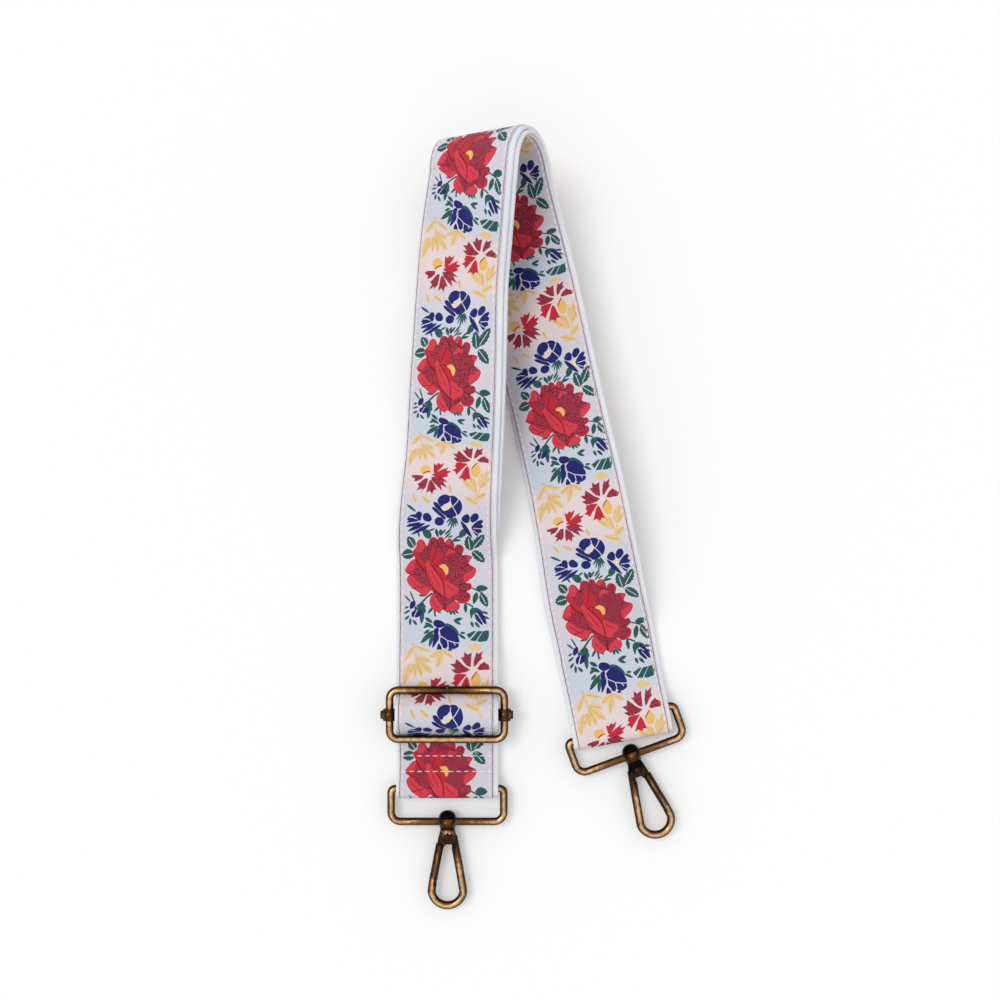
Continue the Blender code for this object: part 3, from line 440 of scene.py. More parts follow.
class Look:
    """One material (or the world), with its shader ready and a method that adds nodes."""
    def __init__(self, name, world=None, **shader):
        self.material = world or bpy.data.materials.new(name)
        self.material.use_nodes = True
        self.tree = self.material.node_tree
        self.shader = self.tree.nodes["Background" if world else "Principled BSDF"]
        for socket, value in shader.items():
            self.shader.inputs[socket.replace("_", " ")].default_value = value

    def node(self, kind, settings=None, inputs=None, output=0):
        made = self.tree.nodes.new(kind)
        for setting, value in (settings or {}).items():
            if setting == "stops":
                ramp = made.color_ramp
                while len(ramp.elements) < len(value):
                    ramp.elements.new(1.0)
                for element, (place, colour) in zip(ramp.elements, value):
                    element.position = place
                    element.color = (*colour, 1)
            else:
                setattr(made, setting, value)
        for socket, value in (inputs or {}).items():
            if isinstance(value, Sum):
                self.tree.links.new(value.socket, made.inputs[socket])
            else:
                made.inputs[socket].default_value = value
        return Sum(self, made.outputs[output])

    def output_of(self, value, name):
        return Sum(self, value.socket.node.outputs[name])

    def object_place(self):
        return self.node("ShaderNodeTexCoord", {}, {}, 3)

    def cloth_place(self):
        """The place on the cloth in millimetres, whole and as its two parts."""
        place = self.node("ShaderNodeUVMap", {"uv_map": "weave"})
        parts = self.node("ShaderNodeSeparateXYZ", {}, {0: place})
        return place, self.output_of(parts, "X"), self.output_of(parts, "Y")

    def noise(self, place, scale, detail=2.0, roughness=0.5):
        return self.node("ShaderNodeTexNoise", {},
                         {"Vector": place, "Scale": scale, "Detail": detail, "Roughness": roughness})

    def ramp(self, value, stops):
        return self.node("ShaderNodeValToRGB", {"stops": stops}, {0: value})

    def mix(self, share, first, second, blend="MIX"):
        return self.node("ShaderNodeMix", {"data_type": "RGBA", "blend_type": blend},
                         {0: share, 6: first, 7: second}, output=2)

    def relief(self, height, distance, strength=1.0):
        return self.node("ShaderNodeBump", {}, {"Height": height, "Distance": distance, "Strength": strength})

    def feed(self, **links):
        for socket, value in links.items():
            self.tree.links.new(value.socket, self.shader.inputs[socket.replace("_", " ")])


def sRGB(red, green, blue):
    """A colour as a screen shows it (0 to 255), as the light values that Blender wants."""
    shares = (value / 255 for value in (red, green, blue))
    return tuple(share / 12.92 if share <= 0.04045 else ((share + 0.055) / 1.055) ** 2.4 for share in shares)


print("material helpers ready")

# %% [markdown]
# The webbing is a dense cotton band about 1.6 mm thick, with a rounded edge where the weft
# turns back. It could be a flat strip, but from the side the edge is what shows, so a rounded
# profile is carried along the stations. Its UV map counts millimetres across and along, which
# lets the weave follow every bend.

# %% The webbing
EDGE_ROUND = 0.55 * MM
EDGE_WAVE = 0.10 * MM
EDGE_WAVE_LENGTH = 2.9 * MM
PINCH_REACH = 20.0
CORNER_STEPS = 3
LAYER_LOW = -LAYER_THICKNESS / 2
WEBBING_PROUD = 0.12 * MM        # so that the webbing nearly closes the gap under the ribbon
WEBBING_TOP = LAYER_LOW + WEBBING_THICKNESS + WEBBING_PROUD
CLOTH_SHARP_DEG = 50


def finished(mesh, material, sharp_deg):
    """An object of the mesh, with its material, and smooth apart from its sharp edges."""
    mesh.shade_smooth()
    mesh.set_sharp_from_angle(angle=math.radians(sharp_deg))
    mesh.materials.append(material)
    made = bpy.data.objects.new(mesh.name, mesh)
    scene.collection.objects.link(made)
    return made


def mesh_object(name, vertices, faces, material):
    mesh = bpy.data.meshes.new(name)
    mesh.from_pydata([tuple(v) for v in vertices], [], faces)
    return finished(mesh, material, CLOTH_SHARP_DEG)


def webbing_profile():
    """Outline (across, floral) of the webbing, anticlockwise seen against the run."""
    side = WEBBING_WIDTH / 2 - EDGE_ROUND
    low, high = LAYER_LOW + EDGE_ROUND, WEBBING_TOP - EDGE_ROUND
    outline = []
    for centre_u, centre_z, start in ((side, low, -90), (side, high, 0),
                                      (-side, high, 90), (-side, low, 180)):
        for step in range(CORNER_STEPS + 1):
            angle = math.radians(start + 90 * step / CORNER_STEPS)
            outline.append((centre_u + EDGE_ROUND * math.cos(angle), centre_z + EDGE_ROUND * math.sin(angle)))
    return outline


def width_at(stretch, s_mm):
    """Width of the strap at a length along a stretch: pinched a little round the slanting ring."""
    if stretch == "bar_loop":
        return BAR_LOOP_WIDTH
    if stretch != "right_loop":
        return WEBBING_WIDTH
    end = lengths(stretches[stretch])[-1] / MM
    return WEBBING_WIDTH - RIGHT_PINCH * min(1.0, s_mm / PINCH_REACH, (end - s_mm) / PINCH_REACH)


def webbing_piece(stretch, stations, material):
    """A closed band of webbing along the stations, with its UV map in millimetres."""
    outline = webbing_profile()
    count = len(outline)
    run = lengths(stations)
    vertices, faces = [], []
    for (point, across, floral), s in zip(stations, run):
        wave = EDGE_WAVE * math.sin(2 * math.pi * s / EDGE_WAVE_LENGTH)
        narrower = (WEBBING_WIDTH - width_at(stretch, s / MM)) / 2 + abs(wave)
        for u, z in outline:
            u = u - narrower if u > 0 else u + narrower
            vertices.append(point + across * u + floral * z)
    last = len(stations) - 1
    for i in range(last):
        for j in range(count):
            k = (j + 1) % count
            faces.append((i * count + k, i * count + j, (i + 1) * count + j, (i + 1) * count + k))
    faces.append(tuple(range(count)))
    faces.append(tuple(last * count + j for j in reversed(range(count))))
    made = mesh_object("cloth_webbing_" + stretch, vertices, faces, material)
    layer = made.data.uv_layers.new(name="weave")
    around = [0.0]
    for a, b in zip(outline, outline[1:] + outline[:1]):
        around.append(around[-1] + math.dist(a, b))
    values = []
    for i in range(last):
        for j in range(count):
            for turn, row in ((j + 1, i), (j, i), (j, i + 1), (j + 1, i + 1)):
                values += [around[turn] / MM, run[row] / MM]
    for row in (0, last):
        for j in range(count):
            values += [outline[j][0] / MM, outline[j][1] / MM]
    layer.data.foreach_set("uv", values)
    return made


# %% Make the seven stretches of webbing
# Sizes of the weave in millimetres: one rib along, where the ribs turn round, one cord across.
RIB_PITCH = 1.5
RIB_TURN = 3.2
RIB_SLANT = 0.9
CORD_PITCH = 0.8
WEBBING_RELIEF = 0.28 * MM


def webbing_look():
    """Off-white cotton with fine slanting ribs that turn round every few millimetres."""
    look = Look("off_white_webbing", Roughness=0.85, Sheen_Weight=0.25, Sheen_Roughness=0.5,
                Specular_IOR_Level=0.25)
    place, across, along = look.cloth_place()
    fold = across.wave(RIB_TURN) * (RIB_TURN / 2)
    rib = (along + fold * RIB_SLANT).wave(RIB_PITCH)
    cord = across.wave(CORD_PITCH)
    fuzz = look.noise(place, 2.4, 3.0)
    height = rib * 0.6 + cord * 0.3 + fuzz * 0.35
    tint = look.ramp(rib * 0.55 + cord * 0.2 + fuzz * 0.35,
                     [(0.05, sRGB(196, 204, 217)), (0.38, sRGB(234, 239, 247)), (0.85, sRGB(252, 253, 255))])
    broad = look.noise(look.object_place(), 55, 2.0)
    tone = look.ramp(broad, [(0.3, (0.93, 0.93, 0.94)), (0.7, (1.0, 1.0, 0.985))])
    look.feed(Base_Color=look.mix(1.0, tint, tone, "MULTIPLY"),
              Normal=look.relief(height, WEBBING_RELIEF, 0.9))
    return look.material


webbing_material = webbing_look()
webbings = {name: webbing_piece(name, stations, webbing_material) for name, stations in stretches.items()}
print("webbing made:", {name: len(piece.data.polygons) for name, piece in webbings.items()})

# %% [markdown]
# The ribbon is a jacquard: flowers woven in coloured thread on a pale ground. A picture could
# carry them, but the threads' edges stay crisp at any distance if each flower is cut into the
# mesh itself. So the pattern is drawn here as outlines in millimetres, from the eye of one rose
# to the next, in the order in which they lie on each other. The points were chosen by eye on the
# photograph, in pixels, and another script turned them into millimetres on the flat ribbon. The
# motifs are a rose, a bell, a tulip, two pinks, a pansy and cornflowers among leaves.

# %% Colours of the thread
REPEAT = 104.4
THREADS = {
    "red": sRGB(204, 40, 58), "bright": sRGB(224, 64, 78), "crimson": sRGB(160, 14, 52),
    "dark": sRGB(112, 4, 32), "green": sRGB(36, 92, 90), "navy": sRGB(26, 32, 112),
    "yellow": sRGB(243, 209, 150), "ochre": sRGB(222, 178, 112), "deep": sRGB(250, 196, 108),
    "cream": sRGB(244, 226, 186), "pale": sRGB(228, 220, 230), "pink": sRGB(250, 222, 218),
}
# How far each thread floats free of the ground, 1 the most.
FLOATS = {"crimson": 1.0, "navy": 0.75, "green": 0.7, "red": 0.55, "bright": 0.45, "dark": 0.4,
          "yellow": 0.4, "ochre": 0.3, "deep": 0.25}
FLAT_FLOAT = 0.1
print(len(THREADS), "threads")

# %% [markdown]
# Each line of the drawing is one motif: its thread, its kind, its width where it has one, and
# its points. A point is how far across the ribbon it lies, and how far down towards the hooks. A
# line that is set in carries on the one above it.

# %% The drawing of one repeat
DRAWING = """
# green leaves, stems and blades
green leaf 4.3: 13.2 -9.6, 12.3 -17.5
pale stem 0.35: 13.2 -9.6, 12.5 -16
green leaf 4: 14.5 -10.9, 20.3 -18.9
pale stem 0.35: 14.5 -10.9, 19.2 -17.3
green leaf 4.3: 14.2 -9.4, 20 -3.5
pale stem 0.35: 14.2 -9.4, 18.8 -4.6
green leaf 4: -14.1 -10.8, -17.4 -15.1
pale stem 0.35: -14.1 -10.8, -16.7 -14.3
green leaf 4.8: -14.5 -8.1, -20.7 -6.9
pale stem 0.35: -14.5 -8.1, -19.5 -7.2
green leaf 3: 15.5 9.5, 21.4 9.5
green leaf 2.3: 16 11.5, 14.2 17.5
green leaf 1.1: 7.8 -16.4, 10.2 -17.5
green leaf 0.8: 1.3 -19.8, -1.6 -16.4
green leaf 0.8: 4 -20.2, 0.7 -17
green leaf 1.1: -3.7 -19.6, -2.2 -16.4
green leaf 0.7: -19.4 13.2, -16.4 16.8
green leaf 0.6: -16.8 10.7, -14.7 16.8
green leaf 0.9: -12.6 13.1, -9.1 13.3
green leaf 3.7: 17.8 12.2, 20.9 18.9
pale stem 0.35: 18 12.9, 20.3 17.5
green stem 0.45: 13.1 9.2, 16.8 10.9, 19.1 12.4
green stem 0.7: -5.9 11.9, -8.7 14.1, -11.2 16.8
green sharp: -13.9 18.5, -11.6 16.7, -10.4 17, -9.4 18.8, -10.2 20.5, -12.1 19.9
green stem 0.35: 13.1 -9.8, 15 -11.2
green leaf 0.8: -19.6 19.7, -17.6 18.8
green leaf 0.9: -20 22.3, -17 20.7
green leaf 1: -19.7 25.5, -17.4 23.4
green leaf 1.1: -17.3 28.2, -16.9 24.6
green leaf 1.2: -13.9 28.2, -15.8 25.6
green leaf 1.1: -5.5 18.9, -8.3 22.3
green leaf 1: -4.1 19.9, -2.1 22.3
green leaf 2: -11 20.4, -11.6 27.5
green leaf 1.7: -9.7 24.4, -6.2 27.1
green leaf 1.6: 10.1 17.1, 10.3 22
green leaf 1.1: 18 21.4, 21.3 22.4
green leaf 1: 18.4 23.5, 21.8 25.2
green leaf 1.3: 12.8 26.4, 13.7 29.3
green leaf 1.3: 14.6 26.7, 16.9 29.6
green leaf 1.5: 8.5 24.8, 4.1 26
green leaf 1.2: 4.5 26.1, 7.7 27.9
green leaf 1.3: -8.3 28.1, -10.6 29.8
green leaf 1.1: 1.3 20.1, 1.4 22
green leaf 1.2: 2.7 20.4, 3 23.2
green leaf 1: 3.5 20.4, 5.2 23.2
green leaf 1.1: 4.5 19.9, 6.6 22.4
green stem 0.7: -5.1 19.9, -4.8 23.9
green stem 0.55: 9.9 17, 11.6 17.5, 14 19
green round: -14.6 18.7, -12.6 19.7, -9.8 19.7, -9.5 21.4, -11 22.7, -12.6 20.8, -14.4 21.3
green round: 12.4 20.8, 13.6 19.5, 16 19.7, 17.8 20.8, 18.4 22.7, 15.6 22, 13.6 23.1, 13 25, 12.5 23.1
green leaf 1: -19.1 75.3, -13.9 78.1
green leaf 0.7: 4.5 78.3, 1.4 81.5
green leaf 0.6: 4.7 78.6, 2.2 83.3
green leaf 0.6: 5 78.7, 3.3 85.6
green leaf 0.6: 5.3 78.6, 4.9 83.7
green leaf 0.7: 5.5 78.5, 6.3 83
green leaf 0.7: 5.6 78.3, 7.3 81.7
green leaf 0.9: -4 85.6, -2.3 88.8
green leaf 1.4: -1 84.8, -1.6 87.5
green leaf 0.6: 3.9 85.8, 0.6 89.3
green leaf 0.6: 5 87.4, 2.3 88.5
green leaf 0.7: -12.6 86.8, -11.5 89.1
green leaf 0.7: -6.9 86, -4.3 84.8
green round: -10.2 86.4, -8.7 85.5, -6.8 86, -5.7 88, -7 89.5, -9 88.8
green stem 0.6: 9 86.7, 6.5 88.4, 3.6 91.3
green leaf 1: 4.5 90, 8.9 89.2
green round: 8.1 85.7, 9.9 83.7, 11.3 85.2, 10.7 87, 8.3 87.4
# the bud, the bell, the tulip, the pansy and the two cornflowers
navy leaf 2.4: -14.6 15.8, -16.9 20.1
navy leaf 2.6: -13.8 20.8, -16.1 24.1
navy leaf 2.4: -11.4 20.6, -14.6 24.4
navy leaf 2.6: 15.8 20.6, 20.2 27.9
navy leaf 1.9: 14.6 22.5, 18.4 28.2
pale stem 0.35: 15.6 22, 18.8 27.5
pale stem 0.3: -13.4 20.4, -15.2 23.9
green round: -2.4 29.1, 0.2 27.5, 2.8 28.1, 5.1 30.1, 6.4 32.4, 5.8 34, 3.9 31.3, 0.6 29.3
navy round: -5.7 27, -4.6 25.7, -2 26.1, -0.4 27.4, -1.2 29.1, -3.5 29.6, -5.2 28.6
green leaf 2.3: -5.7 31.1, -12.2 37.7
green leaf 1.7: -6 32.8, -8 39.4
green leaf 1.2: -7.7 30.8, -10.6 32.8
green leaf 1.8: -9.8 27, -5.7 29.8
navy round: -5.4 30.7, -3.3 29.9, -3.5 32.4, -3.3 35.2, -4.6 37.5, -6.5 39.8, -5.7 35.2
navy round: -2.8 31.3, -0.1 29.1, 2.8 29.7, 5.1 32, 6.7 36, 6.4 37.5, 6.3 39.1, 5.4 39.9, 3.6 40.5, 1.7
  39.9, 1.2 38.7, -0.1 40.3, -2 38.7, -2.7 35.2, -2.8 32.8
pale stem 0.4: -3 31.3, -2.5 34, -0.5 35.2, 1 36.3
pale stem 0.4: 1 36.3, 1.3 38.9
pale stem 0.4: 1 36.3, 3.9 37.1, 6.5 37.6
pale stem 0.4: -2.5 34, -3.1 36.7, -1.6 39.1
pale stem 0.4: 3.9 37.1, 4.8 38.7
navy round: -4.2 40.6, -3.3 37.8, -2 40.1, -2.6 41
navy sharp: 0.9 41, 2 40.2, 3.3 41.1, 2.1 41.5
green leaf 1: 7.3 32.4, 9.8 32.5
green leaf 1.2: 6.4 33, 10 35.6
green sharp: 10.5 33.2, 14 31.5, 15.1 31.5, 11.6 35.2
green sharp: 12.1 36.2, 16 31.5, 18.3 31.5, 14.7 36.5
green sharp: 15.5 36.5, 18.8 31.5, 21.2 31.1, 21.4 33.6, 20.3 36.3, 17 36.9
navy round: -3.6 71.7, -2.5 69.6, -0.2 68.5, 2.1 68.9, 2.8 70.4, 1.4 72.1, -0.2 72.9, -1.5 74.3, -2.6 73.4
navy round: 2.4 69.2, 4 68.6, 5.8 69.1, 6.6 70.5, 5.4 72.1, 4.1 73.3, 3.4 71.7
navy round: 7 70.1, 8.2 71, 8.9 73.5, 7.9 76, 6.5 77.2, 5.3 75, 4.5 73.5, 5.8 72.2
navy round: 0 75.7, 1.7 74.7, 3.6 73.5, 5.1 75.5, 6.2 77.3, 4.6 78.4, 2.2 79.1, 0.6 77.8
navy round: -5.6 72.8, -4 72.7, -2.2 74.3, -0.1 76.4, 0.8 77.9, -0.8 77.3, -2.8 75.9, -4.8 74.4
navy round: -6 75, -4.3 75.3, -1.9 77, 0.5 78.6, 0.8 80, -1.5 78.8, -4 77.2, -5.6 76
navy round: -4 80.2, -2.3 79.3, -0.5 79.7, 0.2 81.1, -0.7 82.7, -2.9 83.1, -4.3 81.8
navy round: -14.2 79.4, -12.8 77.9, -11.2 78.4, -11.1 80.9, -12.3 81.9, -13.6 80.6
navy round: -10.2 79, -8.5 78, -6.9 78.9, -6 80.5, -7.1 81.8, -9.3 81.6, -10.2 80.7
navy round: 8.9 78.9, 10.4 76.8, 12.1 76.4, 13 78.1, 12.2 80.2, 10.5 80.3
navy round: 13.3 77.9, 14.7 75.7, 16.7 75.4, 17.3 77.3, 15.9 79, 14.3 79.8, 13.5 79.2
navy sharp: -18.2 82, -17.6 80.9, -16.3 79.8, -14.4 79.3, -13.6 81.3, -12.5 82.3, -13.6 83, -15.6 82.9,
  -17.1 83.8, -18.2 83.3, -17.3 82.6
navy leaf 1.4: -11.3 82.7, -18.5 85
navy leaf 1.6: -9.2 82.8, -17.5 87
navy leaf 1.5: -6.4 83.3, -15.9 88.3
navy sharp: 13.9 82.6, 15.1 80.7, 16.8 79, 18.9 78, 19.6 78.7, 18.6 80.2, 19.7 81.2, 18.6 82.6, 19 84.3,
  17.7 84.9, 17 86.7, 15.7 85.7, 14.7 84.1
pale stem 0.35: 14.7 82.7, 18.8 82.6
pale stem 0.35: 14.6 83.7, 17.4 85.5
navy leaf 2: 8.5 79.7, 14.3 87.8
pale stem 0.4: 2.8 69.5, 2.8 71.7, 3.7 73.5
pale stem 0.4: 6.9 70.2, 5.5 72.1, 4 73.6
pale stem 0.4: 4 73.6, 5.4 75.2, 6.6 77.3
pale stem 0.4: -12.4 82.4, -15.2 83.1, -18.3 83.8
pale stem 0.4: -13.6 81.3, -15.4 80.7, -17.1 80.9
pale stem 0.4: -0.2 72.9, 1 74, 2.2 73.8
pale stem 0.4: 13.1 78.3, 13.2 79.8, 13.8 80.5
pale stem 0.4: -10.9 79.9, -11 81.6, -11.5 82.4
cream sharp: -1.6 73.8, -0.9 74.7, -0.4 74, 0.3 75.3, 1.7 74.4, 1.8 73.2, 3.3 71.9, 3.9 73.3, 2.3 75, 0.3
  76.1, -1.3 75.4
cream sharp: 11.8 80.8, 13.4 80.6, 13.9 82.6, 13.4 84.5, 12.5 83.1
# yellow leaves and calyxes
yellow leaf 2.6: -15.4 39.1, -20 46.5
yellow leaf 2.2: -14.8 39.2, -7.4 41.9
yellow leaf 0.9: -16.5 37.4, -14.8 39.3
yellow leaf 3.2: -14.7 44.8, -7.4 46.5
yellow leaf 3.6: -14.3 45.3, -6.7 52.4
yellow leaf 3: -14.5 45.7, -11.7 54.1
yellow leaf 3: -1.6 41.1, -8 44.9
yellow leaf 3.2: -1.6 41.2, -4.5 50.1
yellow leaf 2.6: -1.5 41.1, 3.6 45
yellow stem 0.7: -15.2 38.7, -14.6 43, -14.8 48.1
yellow round: 11.2 39.5, 12.7 38.1, 15.1 38, 17.5 39.6, 16.6 41, 14 41.5, 12 40.7
yellow leaf 4: -15 47.7, -21.2 54.7
yellow leaf 1.4: -15.4 53.9, -14.7 50
deep round: -14 59.3, -13.9 57.6, -12.2 56.2, -9.9 56.5, -8.8 57.8, -9.8 59, -12.4 60.2
deep round: 12.2 54.9, 15.2 52.3, 16.4 53.6, 17 55.7, 15.7 58, 13.9 58.4, 12.5 56.9
yellow leaf 3.4: -17.8 48, -20.8 57.6
yellow leaf 1.8: -13.9 48.7, -19.3 52.6
yellow leaf 2.8: 15.5 65.5, 7.2 59.9
yellow leaf 3: 15.3 65.7, 11.6 57.9
yellow leaf 2.2: 15.4 65.5, 14 59.1
yellow leaf 2.6: 15 68.8, 20.8 65.2
yellow leaf 2.6: 16.1 70.9, 9.6 68.2
yellow leaf 2.8: 17.2 63, 18.1 56.2
yellow leaf 2.8: 17.4 63, 21.3 54.3
yellow leaf 2.4: 17.6 63, 22.2 58.1
yellow leaf 1.7: 1.7 63.8, 2.7 67.7
yellow leaf 1.9: -11.9 70.7, -7.2 73.3
yellow leaf 1.7: -16.5 70.4, -14.2 74.1
yellow stem 0.7: 17.8 63.4, 15.3 67.5, 17.6 73.7
# the rose, from its outline to its eye
red round: -11.2 -14.3, -9.3 -13.5, -8.1 -11.3, -7.1 -13.1, -6.5 -14.8, -4.9 -15.6, -3.2 -15.1, -2.7 -14.5,
  -1.8 -15.8, -0.3 -15.7, 0.5 -14.6, 0.8 -13.4, 1.9 -14.6, 3.5 -15.5, 4.7 -14.3, 5.4 -12.9, 5.4 -10.6, 6.4
  -12.2, 7.8 -12.7, 9.3 -12, 10 -10.2, 9 -7.1, 11.1 -7.1, 13.8 -6.2, 13 -4.6, 12.2 -2.7, 14.2 -1.3, 15.8
  -0.1, 15.5 1.9, 14 4, 10.6 6.7, 12.5 6.9, 13.4 8.1, 12.9 9.9, 10.9 11.1, 12.3 12.2, 12.8 13.7, 12.1 15.7,
  10.3 16.8, 8.2 17.2, 6.2 16.4, 5.2 15.4, 6.7 16.8, 7.4 18.6, 6.7 20.2, 5.2 21, 3.5 20.2, 1.6 21.7, 0.1 21,
  -0.5 20, -1.4 20.7, -2.9 21.6, -4.6 21, -6.2 19.6, -7.2 17.2, -7.1 14.9, -6.2 13, -5.4 11.3, -6.8 10.6,
  -7.7 11.8, -9.1 13.1, -10.9 12.8, -12.3 11.7, -13.8 10.6, -15.7 9.3, -17.3 7.4, -18.1 5.2, -17.5 3.5,
  -16.6 2.6, -18 1.6, -18.9 0.4, -18.1 -1.1, -16.9 -3, -15.5 -4.4, -13.8 -5.2, -14.7 -6.8, -15.1 -8.6, -14.1
  -9.9, -13.1 -11.2, -12.8 -12.9
crimson round: -7.1 -12.1, -5.8 -14.5, -4.5 -15.1, -3.3 -14.5, -2.8 -13.4, -1.9 -15, -0.5 -14.9, 0.5 -12.9,
  2.1 -12.2, 4.4 -11.9, 5.1 -10.1, 6.6 -11.6, 8.1 -12, 9 -10.3, 8.3 -7.3, 10.1 -6.6, 12.1 -6.1, 11.7 -4.1,
  11.4 -2, 13.8 -0.8, 12.8 1.6, 11.3 4, 9.4 6.5, 7.1 8.9, 5.2 8.1, 3.3 7, 1.3 5.9, 0.5 4.4, 2 2.5, 2.4 0.5,
  1.3 -2, -0.4 -2.7, -1.7 -2.3, -0.8 -4.9, -1.3 -7.2, -2.3 -8.1, -3.3 -11.2, -5.8 -9.7, -6.8 -10.7
crimson round: -9.8 -13, -8.6 -11.1, -6.8 -10.7, -5.9 -9.7, -6.6 -6.8, -6.1 -4.6, -4.7 -2.9, -7.2 -3.7, -9.3
  -3.4, -10.8 -4.4, -11.8 -7.5, -10.1 -8.7, -9.2 -10.3
crimson round: -14.6 0.2, -13 -0.9, -10.6 -0.5, -8.7 1.4, -7.8 4.5, -6.8 8.4, -8.7 8.1, -10.9 7.1, -13.1
  5.3, -14.4 2.7
crimson round: -6.2 8.4, -4 10.7, -1.7 13, 0.2 14.4, 2.1 13.5, 4.3 14.4, 5.2 15.4, 2.8 16.9, 1.2 18.3, 0.1
  20.8, -0.8 19.8, -2 17.3, -3.7 15.1, -5.1 12.7
crimson round: 7.1 9, 9.4 7.6, 12.1 7.4, 12.9 8.6, 12.3 9.8, 10.1 10.6, 7.6 10.4
crimson round: 5.4 13.7, 7.1 11.5, 9.9 11.5, 11.8 12.7, 12 14.1, 10.1 15.8, 7.4 15.7, 5.6 15
crimson round: 5.9 -10.9, 7.7 -12.1, 8.9 -11.4, 9.2 -9.7, 8.3 -8.2, 6.6 -8.8
bright round: -11.8 -13.8, -10.4 -13.7, -9.5 -11.9, -9.3 -9.8, -10.6 -8.1, -12.3 -8.6, -13.7 -8.8, -13
  -10.8, -12.5 -12.5
red round: -14 -9.2, -12.4 -8.1, -11.2 -5.5, -10 -2.7, -10.4 -1, -12 -2, -13.3 -4.9, -14.5 -7.2
red round: -5.8 -9.8, -4.2 -11.3, -3.1 -10.8, -3.5 -8.2, -5 -6.3, -5.7 -3.8, -6.6 -5.3, -6.7 -7.8
red round: -2.9 -8.7, -1.3 -8.2, -0.6 -6, -2 -4.2, -3.4 -2, -4.7 -2.4, -3.8 -4.9, -3.6 -7
bright round: 0.8 -7, 1.9 -8.7, 3.3 -10.1, 5.2 -9.2, 6.3 -7.9, 3.7 -8.2, 2.3 -7.4
bright sharp: 0.6 -12.7, 2 -14.4, 3.5 -15.3, 4.4 -14.3, 3.1 -13, 1.7 -12.1
bright round: 9.9 3.4, 10.9 1.4, 12.8 -0.2, 14.8 -0.6, 15.5 0.5, 15 2.3, 13.4 4, 11 6, 9.9 5.7
crimson stem 0.5: 10.9 1.6, 14.5 -0.5
bright sharp: 11.1 -6.3, 13.5 -6, 12.4 -3.9, 11.7 -4.9
red round: -6.2 -2.5, -4 -2, -1.6 -0.5, 0.7 1.6, 1.5 3.5, 0.6 5.5, 0 8.8, -1.2 5.9, -2.6 3, -4.2 0.5
bright round: -8.6 -3.2, -7.5 -3.8, -6.5 -2, -4.7 0.6, -2.5 3.4, -1 6.2, -0.1 9.8, -0.1 12.9, -2.2 12.3,
  -4.1 10.3, -6.4 7.8, -8.4 4.5, -9 0.7
bright round: 0.2 5.7, 2.5 6.5, 4.8 8.1, 7.1 9.8, 6 12.2, 4.3 12.7, 2.5 14.6, 0.9 13.8, 0 10.7
bright round: -7 15.4, -6.2 13.3, -5.3 11.7, -4.4 14.1, -2.6 17, -1 19.8, -2.6 21.2, -4.6 20.5, -6.2 19
bright round: 0.6 20.8, 1.5 18.5, 3.4 17.1, 5 16.1, 6.8 17.5, 7 19.1, 5.4 20.5, 3.7 19.8, 1.7 21.2
bright round: -18.6 0.4, -17.8 -1.2, -16.6 -3, -15 -4.2, -13.8 -4.1, -14.3 -2.5, -14.8 -0.2, -16.6 0.5
bright round: -17.7 4.9, -17.2 3.6, -15.6 3.5, -14.4 4.9, -12.5 6.9, -10 8.4, -7.3 9.8, -9 12.2, -11.1 12.2,
  -13.5 10.3, -15.8 8.8
dark stem 0.5: -6.2 -2.4, -4 0.6, -1.6 4, -0.1 7.8, 0.1 12.7
dark stem 0.5: -9 -1.4, -8.5 3, -6.7 7.6, -4 10.9, -0.8 13.7, 0.2 14.6
dark stem 0.45: 0.2 14.6, 0 17.5, 0 20.7
dark stem 0.4: -18 1.8, -16 2.4, -14.4 2.6
dark stem 0.35: -15.6 9.6, -12.8 9.2, -10 8.6
dark stem 0.4: -2.8 -14.4, -2.3 -12.4, -1.1 -10.4
dark stem 0.4: 0.8 -13.3, 2.1 -11.6, 5.5 -9.7
dark stem 0.4: -8.1 -11.2, -7.2 -10.2, -6 -9.5
dark stem 0.45: 7.1 10.3, 9.4 10.9, 11 11.1
dark stem 0.4: 5.2 15.3, 4.8 14.5, 4.4 13.7
dark stem 0.35: 9 -7, 7.4 -7.7, 5.6 -8.2
dark stem 0.6: -13.7 -5.1, -12 -1.8, -10.4 -0.5, -8.7 1.6
dark stem 0.35: 12.2 -2.6, 9.9 -0.7, 8 -0.2
dark stem 0.4: -4.7 -2.4, -2.6 -1.5, -0.8 -0.1
dark stem 0.4: 10.6 6.8, 8 7.8, 7.1 9.1
dark stem 0.35: -9.2 -10.3, -10.6 -8.1, -12.3 -8.5
dark stem 0.35: -3.3 -11.2, -3.8 -8.2, -5.6 -3.9
red stem 0.4: -8.2 0.2, -7.3 4, -5 7.8
red stem 0.4: -6.5 0.2, -4.5 4, -2.2 8.3
red stem 0.4: 1.1 7.8, 3.4 9.8, 5.2 10.3
red stem 0.4: -5.9 15.6, -4.5 18, -2.6 19.9
red stem 0.4: -16.5 4.9, -13.7 7.8, -10.5 10.3
deep round: -2.1 -1.6, -0.5 -2.3, 1.1 -1.9, 2.2 -0.2, 2 1.6, 1.2 2.8, 0.5 1.4, -0.2 -0.1, -1.4 -0.9
# the two pinks, petal by petal
crimson sharp: 11.7 50.7, 9.7 51.8, 6.6 52.4, 4.6 52.4, 2.4 50.6, 4.6 50.5, 3.8 49.4, 2.1 47.9, 4.5 47.8,
  5.1 45.4, 7.1 47.2, 9.2 49.2
crimson sharp: 12 49.4, 10.1 48.6, 8.5 46.5, 7.4 44.6, 8.9 44.8, 9.1 41.9, 10.6 43.5, 12.7 42.4, 12.4 44.7,
  12.2 47
